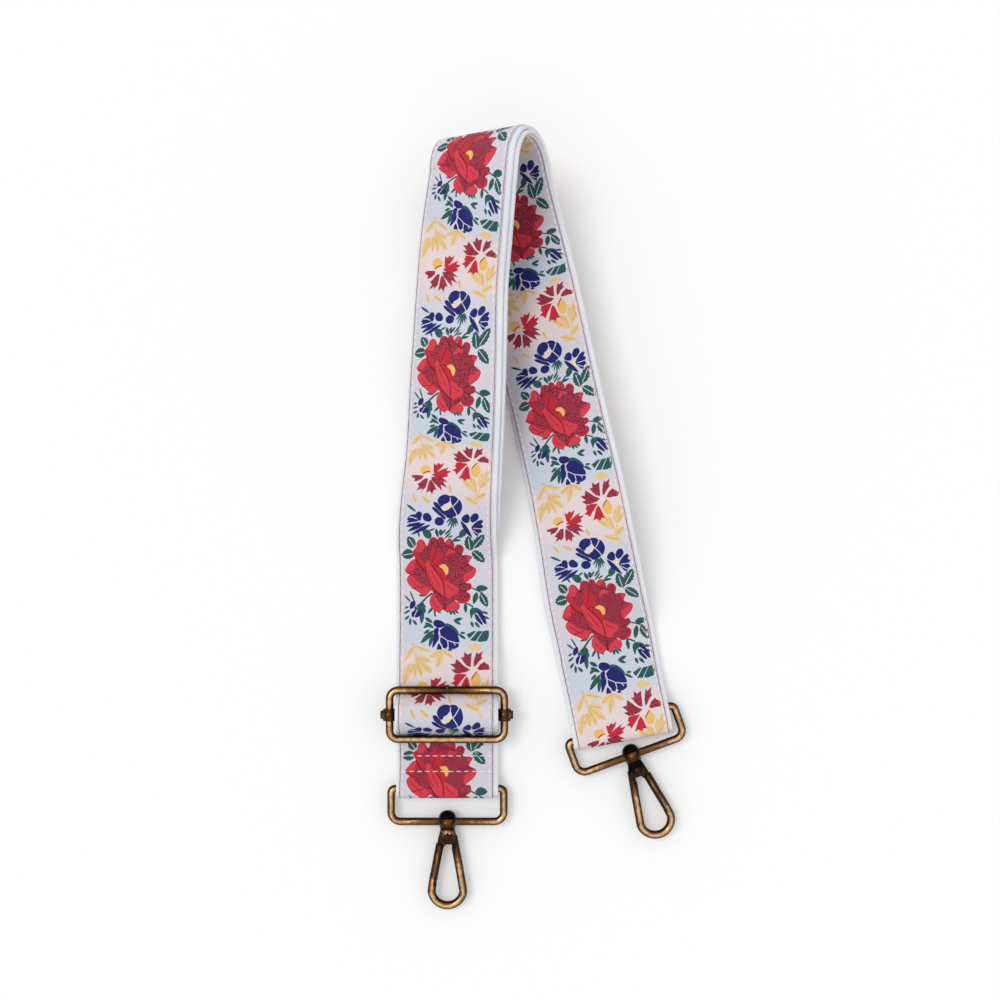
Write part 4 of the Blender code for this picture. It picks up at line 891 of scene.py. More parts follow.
crimson sharp: 13.5 49.3, 13.7 46.7, 14.4 44.3, 15.3 41.9, 15.8 43.2, 18.2 41.6, 17.2 44.1, 17.7 45.2, 15.8
  46.8, 14.4 48.7
crimson sharp: 15.2 50.3, 16.8 48.1, 19 46.7, 19.3 47.6, 20.5 48.1, 21.9 49.2, 21 50.8, 18.9 50.7, 16.4 50.9
red sharp: 10.1 52.9, 6.6 52.7, 4 53.1, 4.3 53.8, 3.6 54.7, 4.5 55.6, 2.5 56.9, 4.2 57.3, 4.7 58.6, 6.6
  56.5, 8.9 54.1
red sharp: 10.1 53.8, 8.8 55.4, 7.7 57.7, 6.1 60.6, 7.8 59.7, 9.7 60.9, 10.6 59.6, 12 60.1, 11.5 57.5, 10.9
  55
red sharp: -7 59.1, -7.2 58.4, -7.4 54.9, -6 55.6, -4.9 54.3, -3.9 55.1, -2 54, -3 55.8, -4.6 57.7, -6.2
  59.1
red sharp: -7.9 60.2, -5.9 59, -2.7 57.2, 0.6 55.7, -0.8 57.4, 2.1 57.4, -0.1 58.8, 0.5 59.9, -2.4 60.8,
  -5.7 61
crimson sharp: -8.1 61.2, -5.7 61.1, -2.4 60.9, 0.7 62.7, -2 62.5, 0.6 65.2, -2.8 64.1, -1.9 66.8, -4.5
  64.9, -7.5 62.8
crimson sharp: -8.4 62.5, -6.4 64.2, -4.6 67.1, -6 66.7, -6.8 69.1, -8.1 67.5, -9.7 68.8, -9.3 65.7, -8.9
  63.5
crimson sharp: -9.7 62.3, -10 64.3, -10.5 66.5, -12.4 68, -12.3 66.9, -15.1 68.3, -13.6 66.3, -14.8 65.5,
  -12.7 63.7, -11 62.3
crimson sharp: -12.3 61.2, -15.4 61.3, -18.3 61.8, -17.9 62.6, -16.3 62.9, -16.7 64.3, -14.3 63.5, -12.6
  62.2
pink sharp: 11.3 51.9, 12.7 50.3, 14.3 51.5, 12.8 53.6
pink sharp: -11.9 60.7, -10.1 59.3, -8.1 60.2, -9.9 61.7
crimson stem 0.3: 15.2 51.6, 13.7 53.1, 12.5 54.8
crimson stem 0.3: -12.7 60.3, -10.9 59.2, -8.9 58.8
"""


def motif(line):
    """One line of the drawing as (thread, kind, width, points)."""
    words, places = line.split(":")
    thread, kind, *width = words.split()
    points = [tuple(float(value) for value in place.split()) for place in places.split(",")]
    return thread, kind, float(width[0]) if width else 0, points


drawn = [motif(line) for line in DRAWING.replace("\n  ", " ").splitlines() if ":" in line]
print("motifs drawn:", len(drawn))

# %% [markdown]
# A leaf needs only its two ends and a width, and a stem only its middle line. The helpers below
# turn them into outlines. Rounded shapes become a smooth curve through their points, sharp ones
# keep their corners, and a broad leaf gets the small teeth of a rose leaf.

# %% From drawing to outlines
GROWTH = 0.12                    # a thread covers a little more than its drawing
UNGROWN = ("pale", "pink", "cream", "dark", "ochre")
CURVE_CUTS = 3
VEIN_WIDTH = 0.4
VEIN_REACH = 0.85
TOOTHED_FROM = 3.4
# A leaf's edge: how far along it is, and how much of the leaf's half width it takes there.
PLAIN_EDGE = [(0.12, 0.5), (0.3, 0.92), (0.5, 1.0), (0.7, 0.8), (0.88, 0.42)]
TOOTHED_EDGE = [(0.12, 0.55), (0.26, 0.98), (0.31, 0.8), (0.46, 1.14), (0.52, 0.86), (0.66, 0.98),
                (0.72, 0.66), (0.86, 0.6), (0.9, 0.34)]


def rounded(points, width):
    """A smooth closed line through the points (Catmull-Rom)."""
    count = len(points)
    smooth = []
    for k in range(count):
        four = [points[(k + step - 1) % count] for step in range(4)]
        for cut in range(CURVE_CUTS):
            t = cut / CURVE_CUTS
            smooth.append(tuple((2 * b + (c - a) * t + (2 * a - 5 * b + 4 * c - d) * t * t
                                 + (3 * b - a - 3 * c + d) * t ** 3) / 2
                                for a, b, c, d in zip(*four)))
    return smooth


def sharp(points, width):
    return points


def leaf(points, width):
    (x0, y0), (x1, y1) = points
    run_x, run_y = x1 - x0, y1 - y0
    length = math.hypot(run_x, run_y)
    side_x, side_y = -run_y / length * width / 2, run_x / length * width / 2
    edge = TOOTHED_EDGE if width > TOOTHED_FROM else PLAIN_EDGE
    one, other = ([(x0 + run_x * t + way * side_x * w, y0 + run_y * t + way * side_y * w) for t, w in edge]
                  for way in (1, -1))
    return [points[0]] + one + [points[1]] + other[::-1]


def stem(points, width):
    one, other = [], []
    for index, (x, y) in enumerate(points):
        before, after = points[max(index - 1, 0)], points[min(index + 1, len(points) - 1)]
        run_x, run_y = after[0] - before[0], after[1] - before[1]
        reach = width / 2 / math.hypot(run_x, run_y)
        one.append((x - run_y * reach, y + run_x * reach))
        other.append((x + run_y * reach, y - run_x * reach))
    return one + other[::-1]


def grown(points, by):
    """The outline moved outwards by a little."""
    area = sum(x0 * y1 - x1 * y0 for (x0, y0), (x1, y1) in zip(points, points[1:] + points[:1]))
    way = by if area > 0 else -by
    moved = []
    for (x0, y0), (x, y), (x1, y1) in zip(points[-1:] + points[:-1], points, points[1:] + points[:1]):
        run_x, run_y = x1 - x0, y1 - y0
        length = math.hypot(run_x, run_y) or 1.0
        moved.append((x + run_y / length * way, y - run_x / length * way))
    return moved


def outlines():
    """Every motif of one repeat as (thread, closed outline)."""
    kinds = {"round": rounded, "sharp": sharp, "leaf": leaf, "stem": stem}
    made = []
    for thread, kind, width, points in drawn:
        outline = kinds[kind](points, width)
        made.append((thread, outline if thread in UNGROWN else grown(outline, GROWTH)))
        if kind == "leaf" and thread == "yellow":
            start, tip = points
            vein_end = tuple(a + (b - a) * VEIN_REACH for a, b in zip(start, tip))
            made.append(("ochre", stem([start, vein_end], VEIN_WIDTH)))
    return made


motifs = outlines()
print(len(motifs), "outlines,", sum(len(points) for thread, points in motifs), "points in one repeat")

# %% [markdown]
# Where the photograph shows the flowers tells how the pattern lies along the strap. Each visible
# run of the strap gets a few such marks: a length along the run, how far through the pattern that
# is, and how far aside the flowers lie there. They were read off the photograph with another
# script's help. Between marks the pattern is spread evenly.

# %% Where the pattern lies
# Places of four motifs below the rose's eye.
ROSE_FOOT, BELL_TOP, PINK_EYE, PANSY_EYE = 20.6, 27.1, 51.8, 73.4
lengths_of = {name: lengths(stations) for name, stations in stretches.items()}
ends = {name: run[-1] / MM for name, run in lengths_of.items()}
fold_start = ends["sewn_end"] + ends["slider_run"]
left_start = {"sewn_end": 0.0, "slider_run": ends["sewn_end"], "over_fold": fold_start}
right_start = {"right_loop": -ends["right_loop"], "inner_fold": 0.0,
               "inner_run": ends["inner_fold"], "bar_loop": ends["inner_fold"] + ends["inner_run"]}
LEFT_MARKS = [
    (40.3, 0.0, -1.2),
    (73.3, REPEAT - PANSY_EYE, -0.4),
    (98.0, REPEAT - PINK_EYE, 0.0),
    (fold_start + 2.2, REPEAT, -1.3),
    (fold_start + 57.6, 2 * REPEAT - PINK_EYE, 0.0),
    (fold_start + 76, 2 * REPEAT - BELL_TOP, -0.6),
    (fold_start + 81, 2 * REPEAT - ROSE_FOOT, -0.7),
    (fold_start + 100.6, 2 * REPEAT, -0.8),
    (fold_start + 132.4, 3 * REPEAT - PANSY_EYE, -0.3),
    (fold_start + 156.3, 3 * REPEAT - PINK_EYE, 0.0),
    (fold_start + 178, 3 * REPEAT - BELL_TOP, 0.0),
    (fold_start + 183.4, 3 * REPEAT - ROSE_FOOT, 0.0),
    (fold_start + 200, 3 * REPEAT, 0.4),
    (fold_start + 306, 4 * REPEAT, 0.0),
]
RIGHT_MARKS = [
    (-29.2, -PINK_EYE, 0.0),
    (24.9, 0.0, 1.3),
    (77.7, REPEAT - PINK_EYE, 0.0),
    (100.8, REPEAT - BELL_TOP, 1.2),
    (106.4, REPEAT - ROSE_FOOT, 1.5),
    (123.0, REPEAT, 2.0),
    (152, 2 * REPEAT - PANSY_EYE, 1.0),
    (175.8, 2 * REPEAT - PINK_EYE, 0.0),
    (199.3, 2 * REPEAT - ROSE_FOOT, 0.0),
    (215.3, 2 * REPEAT, 0.0),
    (320, 3 * REPEAT, 0.0),
]


def pattern_place(name, s):
    """How far through the pattern a length s along a stretch is, and how far aside (all in mm)."""
    start, marks = (left_start, LEFT_MARKS) if name in left_start else (right_start, RIGHT_MARKS)
    s = s + start[name]
    lengths_in, places, asides = zip(*marks)
    beyond = min(s - lengths_in[0], 0) + max(s - lengths_in[-1], 0)
    return np.interp(s, lengths_in, places) + beyond, np.interp(s, lengths_in, asides)


print("pattern at the fold's start:", round(pattern_place("over_fold", 0)[0] / REPEAT, 3), "repeats")

# %% [markdown]
# The ribbon's mesh is cut out flat and then bent. Flat, it is a rectangle (across, along), with
# a line at every station and the outlines laid on it; Blender's own triangulation joins all of
# them. Each triangle takes the thread of the last outline that holds it.

# %% Lay the motifs on a flat strip, and cut them out
COLUMNS = 9
SELVEDGE = 1.0
CUT_SLACK = 0.004
OFF_STRIP = 9e3                  # stands for a place that isn't on this stretch
OVERRUN = 1.0                    # a motif at a stretch's end runs on this far past it


def laid_motifs(rows, place, drift, half):
    """Threads and outlines (across, along) of all the motifs that lie on a stretch."""
    threads, shapes = [], []
    for repeat in range(math.floor(place[0] / REPEAT) - 1, math.ceil(place[-1] / REPEAT) + 2):
        for thread, outline in motifs:
            across, down = np.array(outline).T
            along = np.interp(repeat * REPEAT - down, place, rows, left=-OFF_STRIP, right=OFF_STRIP)
            if np.all(abs(along) == OFF_STRIP):
                continue
            along = np.clip(along, -OVERRUN, rows[-1] + OVERRUN)
            across = np.clip(across + np.interp(along, rows, drift), SELVEDGE - half, half - SELVEDGE)
            threads.append(thread)
            shapes.append(np.stack([across, along], axis=1))
    return threads, shapes


def cut_flat(half, rows, shapes):
    """Triangulate the strip with its rows and with the outlines of the shapes."""
    strip = [(u, row) for row in rows for u in np.linspace(-half, half, COLUMNS)]
    points = [Vector(point) for point in strip]
    edges = [(k, k + 1) for k in range(len(points)) if (k + 1) % COLUMNS]
    left = list(range(0, len(points), COLUMNS))
    right = [k + COLUMNS - 1 for k in left]
    border = list(range(COLUMNS)) + right[1:-1] + list(range(left[-1], len(points)))[::-1] + left[-2:0:-1]
    for shape in shapes:
        first, count = len(points), len(shape)
        points += [Vector(point) for point in shape]
        edges += [(first + k, first + (k + 1) % count) for k in range(count)]
    corners, _, triangles, _, _, sources = delaunay_2d_cdt(points, edges, [border], 1, CUT_SLACK, True)
    kept = [tuple(tri) for tri, source in zip(triangles, sources) if source]
    used = sorted({corner for tri in kept for corner in tri})
    number = {corner: index for index, corner in enumerate(used)}
    return (np.array([corners[corner] for corner in used]),
            [tuple(number[corner] for corner in tri) for tri in kept])


def painted(centres, shapes):
    """For each triangle's centre, the last shape that holds it, or -1."""
    top = np.full(len(centres), -1)
    for number, shape in enumerate(shapes):
        low, high = shape.min(axis=0), shape.max(axis=0)
        near = np.where(np.all((centres > low) & (centres < high), axis=1))[0]
        inside = np.zeros(len(near), dtype=bool)
        x, y = centres[near].T
        for (x0, y0), (x1, y1) in zip(shape, np.roll(shape, -1, axis=0)):
            if y0 != y1:
                inside ^= ((y0 > y) != (y1 > y)) & (x < (x1 - x0) * (y - y0) / (y1 - y0) + x0)
        top[near[inside]] = number
    return top


def sides_of(corners, half, end, first):
    """Numbers of the vertices on each side of a strip, in order, as (place along it, number)."""
    sides = {"left": [], "right": [], "start": [], "end": []}
    for number, (u, s) in enumerate(corners, first):
        for side, off, place in (("left", u + half, s), ("right", half - u, s),
                                 ("start", s, u), ("end", end - s, u)):
            if off < CUT_SLACK * 2:
                sides[side].append((place, number))
    return {side: sorted(found) for side, found in sides.items()}


def zipped(one, other):
    """Triangles between two borders, each a sorted list of (place along it, vertex)."""
    made, i, j = [], 0, 0
    while i < len(one) - 1 or j < len(other) - 1:
        if j == len(other) - 1 or (i < len(one) - 1 and one[i + 1][0] <= other[j + 1][0]):
            made.append((one[i][1], one[i + 1][1], other[j][1]))
            i += 1
        else:
            made.append((one[i][1], other[j + 1][1], other[j][1]))
            j += 1
    return made


print("strip helpers ready")

# %% [markdown]
# Bent, every point moves to its station's place. A second, plain layer below and a wall round
# the edge close the body. The colour of each thread is kept at the corners of its triangles, with
# how far it floats free of the ground as a fourth number; the ground's own tint changes along the
# repeat, as its weft does.

# %% Bend the ribbon
PRESSED_IN = 0.04 * MM           # the ribbon's back lies this deep in the webbing, so no gap shows
LAYER_ROOM = 0.06 * MM           # kept free on top, so that the layers stay apart
RIBBON_LOW = WEBBING_TOP - PRESSED_IN
RIBBON_TOP = LAYER_THICKNESS / 2 - LAYER_ROOM
RIBBON_ASIDE = {"sewn_end": -0.5, "slider_run": -0.5, "over_fold": -0.5}
TURNED_IN = 0.6                  # the real ribbon's edge rolls in, so it looks narrower than it is
RIBBON_HALF_MM = WEBBING_WIDTH / MM / 2 - RIBBON_INSET / MM - TURNED_IN
BAR_LOOP_HALF_MM = RIBBON_HALF_MM - (WEBBING_WIDTH - BAR_LOOP_WIDTH) / MM / 2
BLUE, GREY, PINK = sRGB(209, 216, 229), sRGB(219, 215, 225), sRGB(237, 220, 220)
GROUND_STOPS = [(0.0, GREY), (0.14, GREY), (0.25, BLUE), (0.36, BLUE), (0.46, PINK), (0.60, PINK),
                (0.69, GREY), (0.80, BLUE), (0.88, GREY), (1.0, GREY)]


def ground_colours(down):
    """Tints of the ground at places down the repeat."""
    shares, tints = zip(*GROUND_STOPS)
    return np.stack([np.interp(down / REPEAT % 1.0, shares, channel) for channel in zip(*tints)], axis=1)


def bent(corners, depth, name, aside):
    """Where the points of a flat strip come to lie at a depth in the cloth."""
    stations, run = stretches[name], np.array(lengths_of[name]) / MM
    wide = [1.0 if name == "bar_loop" else width_at(name, s) / WEBBING_WIDTH for s in run]
    s = np.clip(corners[:, 1], 0, run[-1])
    u = (corners[:, 0] + aside) * MM * np.interp(s, run, wide)
    spot, across, floral = (
        np.stack([np.interp(s, run, column)
                  for column in zip(*(station[part] for station in stations))], axis=1)
        for part in range(3))
    return spot + across * u[:, None] + floral * depth


def ribbon_piece(name, half, material):
    """A closed ribbon on one stretch, with its UV map in millimetres and its threads' colours."""
    rows = np.array(lengths_of[name]) / MM
    place, drift = np.transpose([pattern_place(name, s) for s in rows])
    threads, shapes = laid_motifs(rows, place, drift, half)
    upper, triangles = cut_flat(half, rows, shapes)
    lower, plain = cut_flat(half, rows, [])
    faces = triangles + [tuple(len(upper) + k for k in reversed(tri)) for tri in plain]
    upper_sides = sides_of(upper, half, rows[-1], 0)
    lower_sides = sides_of(lower, half, rows[-1], len(upper))
    for side in ("left", "right", "start", "end"):
        turned = side in ("right", "start")
        faces += [tri[::-1] if turned else tri for tri in zipped(upper_sides[side], lower_sides[side])]
    aside = RIBBON_ASIDE.get(name, 0.0)
    points = np.concatenate([bent(upper, RIBBON_TOP, name, aside), bent(lower, RIBBON_LOW, name, aside)])
    made = mesh_object("cloth_ribbon_" + name, points, faces, material)

    flat = np.concatenate([upper, lower])
    flat[:, 1] = np.clip(flat[:, 1], 0, rows[-1])
    corner_of = np.empty(len(made.data.loops), dtype=np.int32)
    made.data.loops.foreach_get("vertex_index", corner_of)
    uv = made.data.uv_layers.new(name="weave")
    uv.data.foreach_set("uv", flat[corner_of].ravel())
    ground = ground_colours(-np.interp(flat[:, 1], rows, place))
    colours = np.concatenate([ground[corner_of], np.zeros((len(corner_of), 1))], axis=1)
    centres = upper[np.array(triangles)].mean(axis=1)
    for number, shape in enumerate(painted(centres, shapes)):
        if shape >= 0:
            thread = threads[shape]
            colours[3 * number:3 * number + 3] = (*THREADS[thread], FLOATS.get(thread, FLAT_FLOAT))
    attribute = made.data.color_attributes.new("thread", "FLOAT_COLOR", "CORNER")
    attribute.data.foreach_set("color", colours.ravel())
    return made


# Sizes of the ribbon's weave and of the dark line along its edges, in millimetres. That line is partly the
# selvedge and partly painted shadow of the rolled-in edge.
TWILL_PITCH = 0.62
COUNTER_PITCH = 1.05
WEFT_PITCH = 0.42
EDGE_SHADOW_INSET = 0.42
EDGE_SHADOW_WIDTH = 0.36
BLUSH_REACH = 2.2
RIBBON_RELIEF = 0.12 * MM


def ribbon_look():
    """Fine slanting weave; threads of the flowers stand a little proud and catch the light."""
    look = Look("woven_flower_ribbon", Roughness=0.66, Sheen_Weight=0.05, Sheen_Roughness=0.4,
                Specular_IOR_Level=0.25)
    thread = look.node("ShaderNodeVertexColor", {"layer_name": "thread"})
    floats = look.output_of(thread, "Alpha")
    place, across, along = look.cloth_place()
    twill = (across + along).wave(TWILL_PITCH)
    counter = (across - along * 0.8).wave(COUNTER_PITCH)
    weft = along.wave(WEFT_PITCH)
    speck = look.noise(place, 1.7, 2.0, 0.7)
    cloud = look.noise(place, 0.28, 2.0)
    stretched = look.node("ShaderNodeVectorMath", {"operation": "MULTIPLY"}, {0: place, 1: (0.5, 6.0, 1.0)})
    streak = look.noise(stretched, 1.0, 2.0)
    shade = look.ramp(twill * 0.3 + counter * 0.2 + streak * 0.3 + cloud * 0.3,
                      [(0.2, (0.84, 0.84, 0.85)), (0.55, (0.97, 0.97, 0.97)), (0.85, (1.06, 1.05, 1.05))])
    cloth = look.mix(1.0, thread, shade, "MULTIPLY")

    gaps = (counter < 0.34) * (speck > 0.42) * floats
    deep = look.mix(gaps * 0.55, cloth, look.mix(1.0, cloth, (0.36, 0.34, 0.40, 1), "MULTIPLY"))
    light_dots = (counter > 0.62) * (speck > 0.5) * (twill > 0.45) * (floats > 0.9)
    dotted = look.mix(light_dots * 0.4, deep, (*sRGB(236, 196, 204), 1))

    wander = (along * 1.15).math("SINE") * 0.10 + look.noise(place, 0.35, 1.0) * 0.5
    edge = RIBBON_HALF_MM - across.math("ABSOLUTE") - EDGE_SHADOW_INSET + wander * 0.6
    blush = ((edge < BLUSH_REACH) * 0.28) * look.noise(place, 0.12, 1.0)
    flushed = look.mix(blush, dotted, (*sRGB(232, 190, 190), 1))
    # A dark line along each edge: partly the selvedge, partly painted shadow where the edge rolls in.
    edge_shadow_line = (edge > 0.0) * (edge < EDGE_SHADOW_WIDTH)
    broken = look.ramp(look.noise(place, 0.22, 2.0), [(0.3, (0.55, 0.55, 0.55)), (0.6, (1.0, 1.0, 1.0))])
    lined = look.mix(edge_shadow_line * broken, flushed, (*sRGB(110, 70, 78), 1))

    height = twill * 0.35 + weft * 0.25 + counter * 0.25 + floats * 0.8 - gaps * 0.5 - edge_shadow_line * 0.5
    look.feed(Base_Color=lined, Normal=look.relief(height, RIBBON_RELIEF, 0.9))
    return look.material


ribbon_material = ribbon_look()
ribbons = {}
for name in stretches:
    half = BAR_LOOP_HALF_MM if name == "bar_loop" else RIBBON_HALF_MM
    ribbons[name] = ribbon_piece(name, half, ribbon_material)
print("ribbon made:", {name: len(piece.data.polygons) for name, piece in ribbons.items()})

# %% [markdown]
# White thread holds the ribbon down: one row along each edge, and two more rows across the sewn
# end, where they also close the loop round the ring. Each stitch is a short, slightly fat piece
# of thread between two needle holes. Geometry Nodes set one small thread at every step of a
# path, because there are hundreds of them and they all follow the cloth.

# %% The node group that sews
STITCH_STEP = 3.6 * MM
STITCH_LENGTH = 2.7 * MM
STITCH_WIDTH = 0.74 * MM
STITCH_HEIGHT = 0.50 * MM
STITCH_SEGMENTS = 8
STITCH_RINGS = 6
THREAD_RELIEF = 0.05 * MM


def thread_look():
    look = Look("white_thread", Roughness=0.55, Sheen_Weight=0.2)
    twist = look.noise(look.object_place(), 2600, 1.0)
    look.feed(Base_Color=look.ramp(twist, [(0.3, sRGB(238, 237, 239)), (0.7, sRGB(254, 254, 254))]),
              Normal=look.relief(twist, THREAD_RELIEF, 0.6))
    return look.material


def stitch_tree():
    """Puts one thread at every step of the paths in the mesh."""
    tree = bpy.data.node_groups.new("stitches", "GeometryNodeTree")
    for label, kind in (("Paths", "Geometry"), ("Step", "Float"), ("Length", "Float"),
                        ("Width", "Float"), ("Height", "Float"), ("Thread", "Material")):
        tree.interface.new_socket(label, in_out="INPUT", socket_type="NodeSocket" + kind)
    tree.interface.new_socket("Stitches", in_out="OUTPUT", socket_type="NodeSocketGeometry")
    given, made = tree.nodes.new("NodeGroupInput"), tree.nodes.new("NodeGroupOutput")
    curve, points, thread, place, real, finish = (
        tree.nodes.new("GeometryNode" + kind)
        for kind in ("MeshToCurve", "CurveToPoints", "MeshUVSphere", "InstanceOnPoints", "RealizeInstances",
                     "SetMaterial"))
    size = tree.nodes.new("ShaderNodeCombineXYZ")
    points.mode = "LENGTH"
    for label, value in (("Segments", STITCH_SEGMENTS), ("Rings", STITCH_RINGS), ("Radius", 0.5)):
        thread.inputs[label].default_value = value
    for source, output, target, socket in (
            (given, "Paths", curve, "Mesh"), (curve, "Curve", points, "Curve"),
            (given, "Step", points, "Length"), (given, "Height", size, "X"), (given, "Width", size, "Y"),
            (given, "Length", size, "Z"),
            (points, "Points", place, "Points"), (thread, "Mesh", place, "Instance"),
            (points, "Rotation", place, "Rotation"), (size, "Vector", place, "Scale"),
            (place, "Instances", real, "Geometry"), (real, "Geometry", finish, "Geometry"),
            (given, "Thread", finish, "Material"), (finish, "Geometry", made, "Stitches")):
        tree.links.new(source.outputs[output], target.inputs[socket])
    return tree


stitching = stitch_tree()
thread_material = thread_look()
print("stitching ready:", len(stitching.nodes), "nodes")

# %% Sew the stretches
EDGE_ROW_INSET = 2.3
END_GAP = 0.6
PATH_STEP = 1.2
ROW_PLACES = (20.8 * MM, 12.9 * MM)
ROW_HALF = 21.2
ROW_STEP = 1.0
THREAD_LIFT = RIBBON_TOP + 0.02 * MM
FACES_IN_STITCH = STITCH_SEGMENTS * STITCH_RINGS


def on_cloth(name, u_mm, s_mm):
    """A point on the ribbon, from millimetres across and along a stretch."""
    stations, run = stretches[name], lengths_of[name]
    s = min(max(s_mm * MM, 0.0), run[-1])
    index = min(max(int(np.searchsorted(run, s)) - 1, 0), len(run) - 2)
    share = (s - run[index]) / (run[index + 1] - run[index])
    point, across, floral = (a.lerp(b, share) for a, b in zip(stations[index], stations[index + 1]))
    return point + across * (u_mm * MM) + floral * THREAD_LIFT


def seam_paths(name):
    """Where the thread runs on a stretch: along both edges, and twice across the sewn end."""
    width = BAR_LOOP_WIDTH if name == "bar_loop" else WEBBING_WIDTH
    row = (width / 2 - RIBBON_INSET) / MM - EDGE_ROW_INSET
    aside = RIBBON_ASIDE.get(name, 0.0)
    reach = np.arange(END_GAP, ends[name] - END_GAP, PATH_STEP)
    paths = [[on_cloth(name, side * row + aside, s) for s in reach] for side in (-1, 1)]
    if name == "sewn_end":
        upper = [(point.y - SHIFT.y, s / MM)
                 for (point, across, floral), s in zip(stretches[name], lengths_of[name]) if floral.z > 0.5]
        for place in ROW_PLACES:
            s = float(np.interp(place, *zip(*upper)))
            paths.append([on_cloth(name, u, s) for u in np.arange(-ROW_HALF, ROW_HALF, ROW_STEP)])
    return paths


def stitched(name):
    """One mesh of stitches along the seams of a stretch, as a plain object."""
    vertices, edges = [], []
    for path in seam_paths(name):
        first = len(vertices)
        vertices += [tuple(point) for point in path]
        edges += [(first + k, first + k + 1) for k in range(len(path) - 1)]
    guide_mesh = bpy.data.meshes.new("guide_" + name)
    guide_mesh.from_pydata(vertices, edges, [])
    guide = bpy.data.objects.new("guide_" + name, guide_mesh)
    scene.collection.objects.link(guide)
    modifier = guide.modifiers.new("stitches", "NODES")
    modifier.node_group = stitching
    values = {"Step": STITCH_STEP, "Length": STITCH_LENGTH, "Width": STITCH_WIDTH, "Height": STITCH_HEIGHT,
              "Thread": thread_material}
    for item in stitching.interface.items_tree:
        if item.in_out == "INPUT" and item.name in values:
            modifier[item.identifier] = values[item.name]
    bpy.context.view_layer.update()
    mesh = bpy.data.meshes.new_from_object(guide.evaluated_get(bpy.context.evaluated_depsgraph_get()))
    bpy.data.objects.remove(guide)
    mesh.name = "thread_" + name
    mesh.shade_smooth()
    made = bpy.data.objects.new("thread_" + name, mesh)
    scene.collection.objects.link(made)
    return made


seams = {name: stitched(name) for name in stretches}
print("stitches made:", {name: len(piece.data.polygons) // FACES_IN_STITCH for name, piece in seams.items()})

# %% [markdown]
# All the cloth belongs to the strap's body, apart from the loop that is sewn round the slider's
# bar, which rides on the slider. The upper run under the slider gets a mesh of its own, and the
# plain run below it has its place baked into its mesh and rides on no body.

# %% Let the cloth ride on its bodies
for name in stretches:
    body = "slider" if name == "bar_loop" else "strap"
    for piece, node in ((webbings[name], "webbing_" + name), (ribbons[name], "ribbon_" + name),
                        (seams[name], None)):
        if name == "inner_run":
            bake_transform(piece)
        else:
            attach(piece, body)
        if name == "slider_run":
            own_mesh(piece)
        if node:
            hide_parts(node)
print("cloth rides on its bodies")

# %% [markdown]
# The hardware is cast and bent zinc or steel wire with an antique brass finish, plated and blackened.
# Its colour has painted light in it: a painted highlight where a face points up or down, painted
# shade on the sides, painted shade in hollows and close to other surfaces, and random wear on top.
# The solids of the frame have the right shapes; only their facets show. So each is copied, its
# loose triangles are joined, and it's shaded smooth. While the copy lies flat, each point also notes
# how far it faces up or down, which sets its painted highlight and shade.

# %% Antique brass and spring steel
PAINTED_SHADE_REACH = 1.6 * MM
METAL_RELIEF = 0.06 * MM


def brass_look():
    look = Look("antique_brass", Metallic=1.0, Roughness=0.34)
    place = look.object_place()
    # Painted highlight and shade: bright where the surface faces up or down, nearly black where it faces sideways;
    # the noise adds random wear.
    rub = look.node("ShaderNodeAttribute", {"attribute_name": "rub"}, {}, 2)
    cloud = look.noise(place, 420, 3.0, 0.6)
    fine = look.noise(place, 2600, 2.0, 0.6)
    wear_and_painted_light = rub + (cloud - 0.5) * 0.26 + (fine - 0.5) * 0.12
    colour = look.ramp(wear_and_painted_light, [(0.34, sRGB(18, 12, 9)), (0.68, sRGB(64, 43, 25)), (0.88, sRGB(132, 92, 57)),
                              (0.99, sRGB(222, 182, 134))])
    # Painted shade: darker in hollows and wherever other surfaces are close.
    painted_hollow_shade = look.node("ShaderNodeAmbientOcclusion", {"samples": 6}, {"Distance": PAINTED_SHADE_REACH}, 1)
    shade = look.ramp(painted_hollow_shade, [(0.25, (0.12, 0.11, 0.10)), (0.8, (1.0, 1.0, 1.0))])
    rough = 0.44 - wear_and_painted_light.math("MINIMUM", 1.0).math("MAXIMUM", 0.0) * 0.20 + (fine - 0.5) * 0.10
    look.feed(Base_Color=look.mix(1.0, colour, shade, "MULTIPLY"), Roughness=rough,
              Normal=look.relief(cloud * 0.7 + fine * 0.3, METAL_RELIEF, 0.5))
    return look.material


def steel_look():
    look = Look("spring_steel", Metallic=1.0, Roughness=0.38)
    cloud = look.noise(look.object_place(), 900, 2.0)
    look.feed(Base_Color=look.ramp(cloud, [(0.3, sRGB(120, 118, 116)), (0.7, sRGB(178, 176, 172))]),
              Roughness=0.32 + cloud * 0.15)
    return look.material


brass, steel = brass_look(), steel_look()
print("metal looks ready")

# %% Copies of the solids, joined, smooth, with painted highlight and shade
JOIN_DISTANCE = 0.002 * MM
METAL_SHARP_DEG = 42
CAP_FROM = WIRE_RADIUS * 0.4     # a hook's riveted cap starts this far past the swivel's middle
# The cap and the pins are darker: they keep only this share of their painted light.
CAP_PAINTED_LIGHT_SHARE = 0.30
PIN_PAINTED_LIGHT_SHARE = 0.62


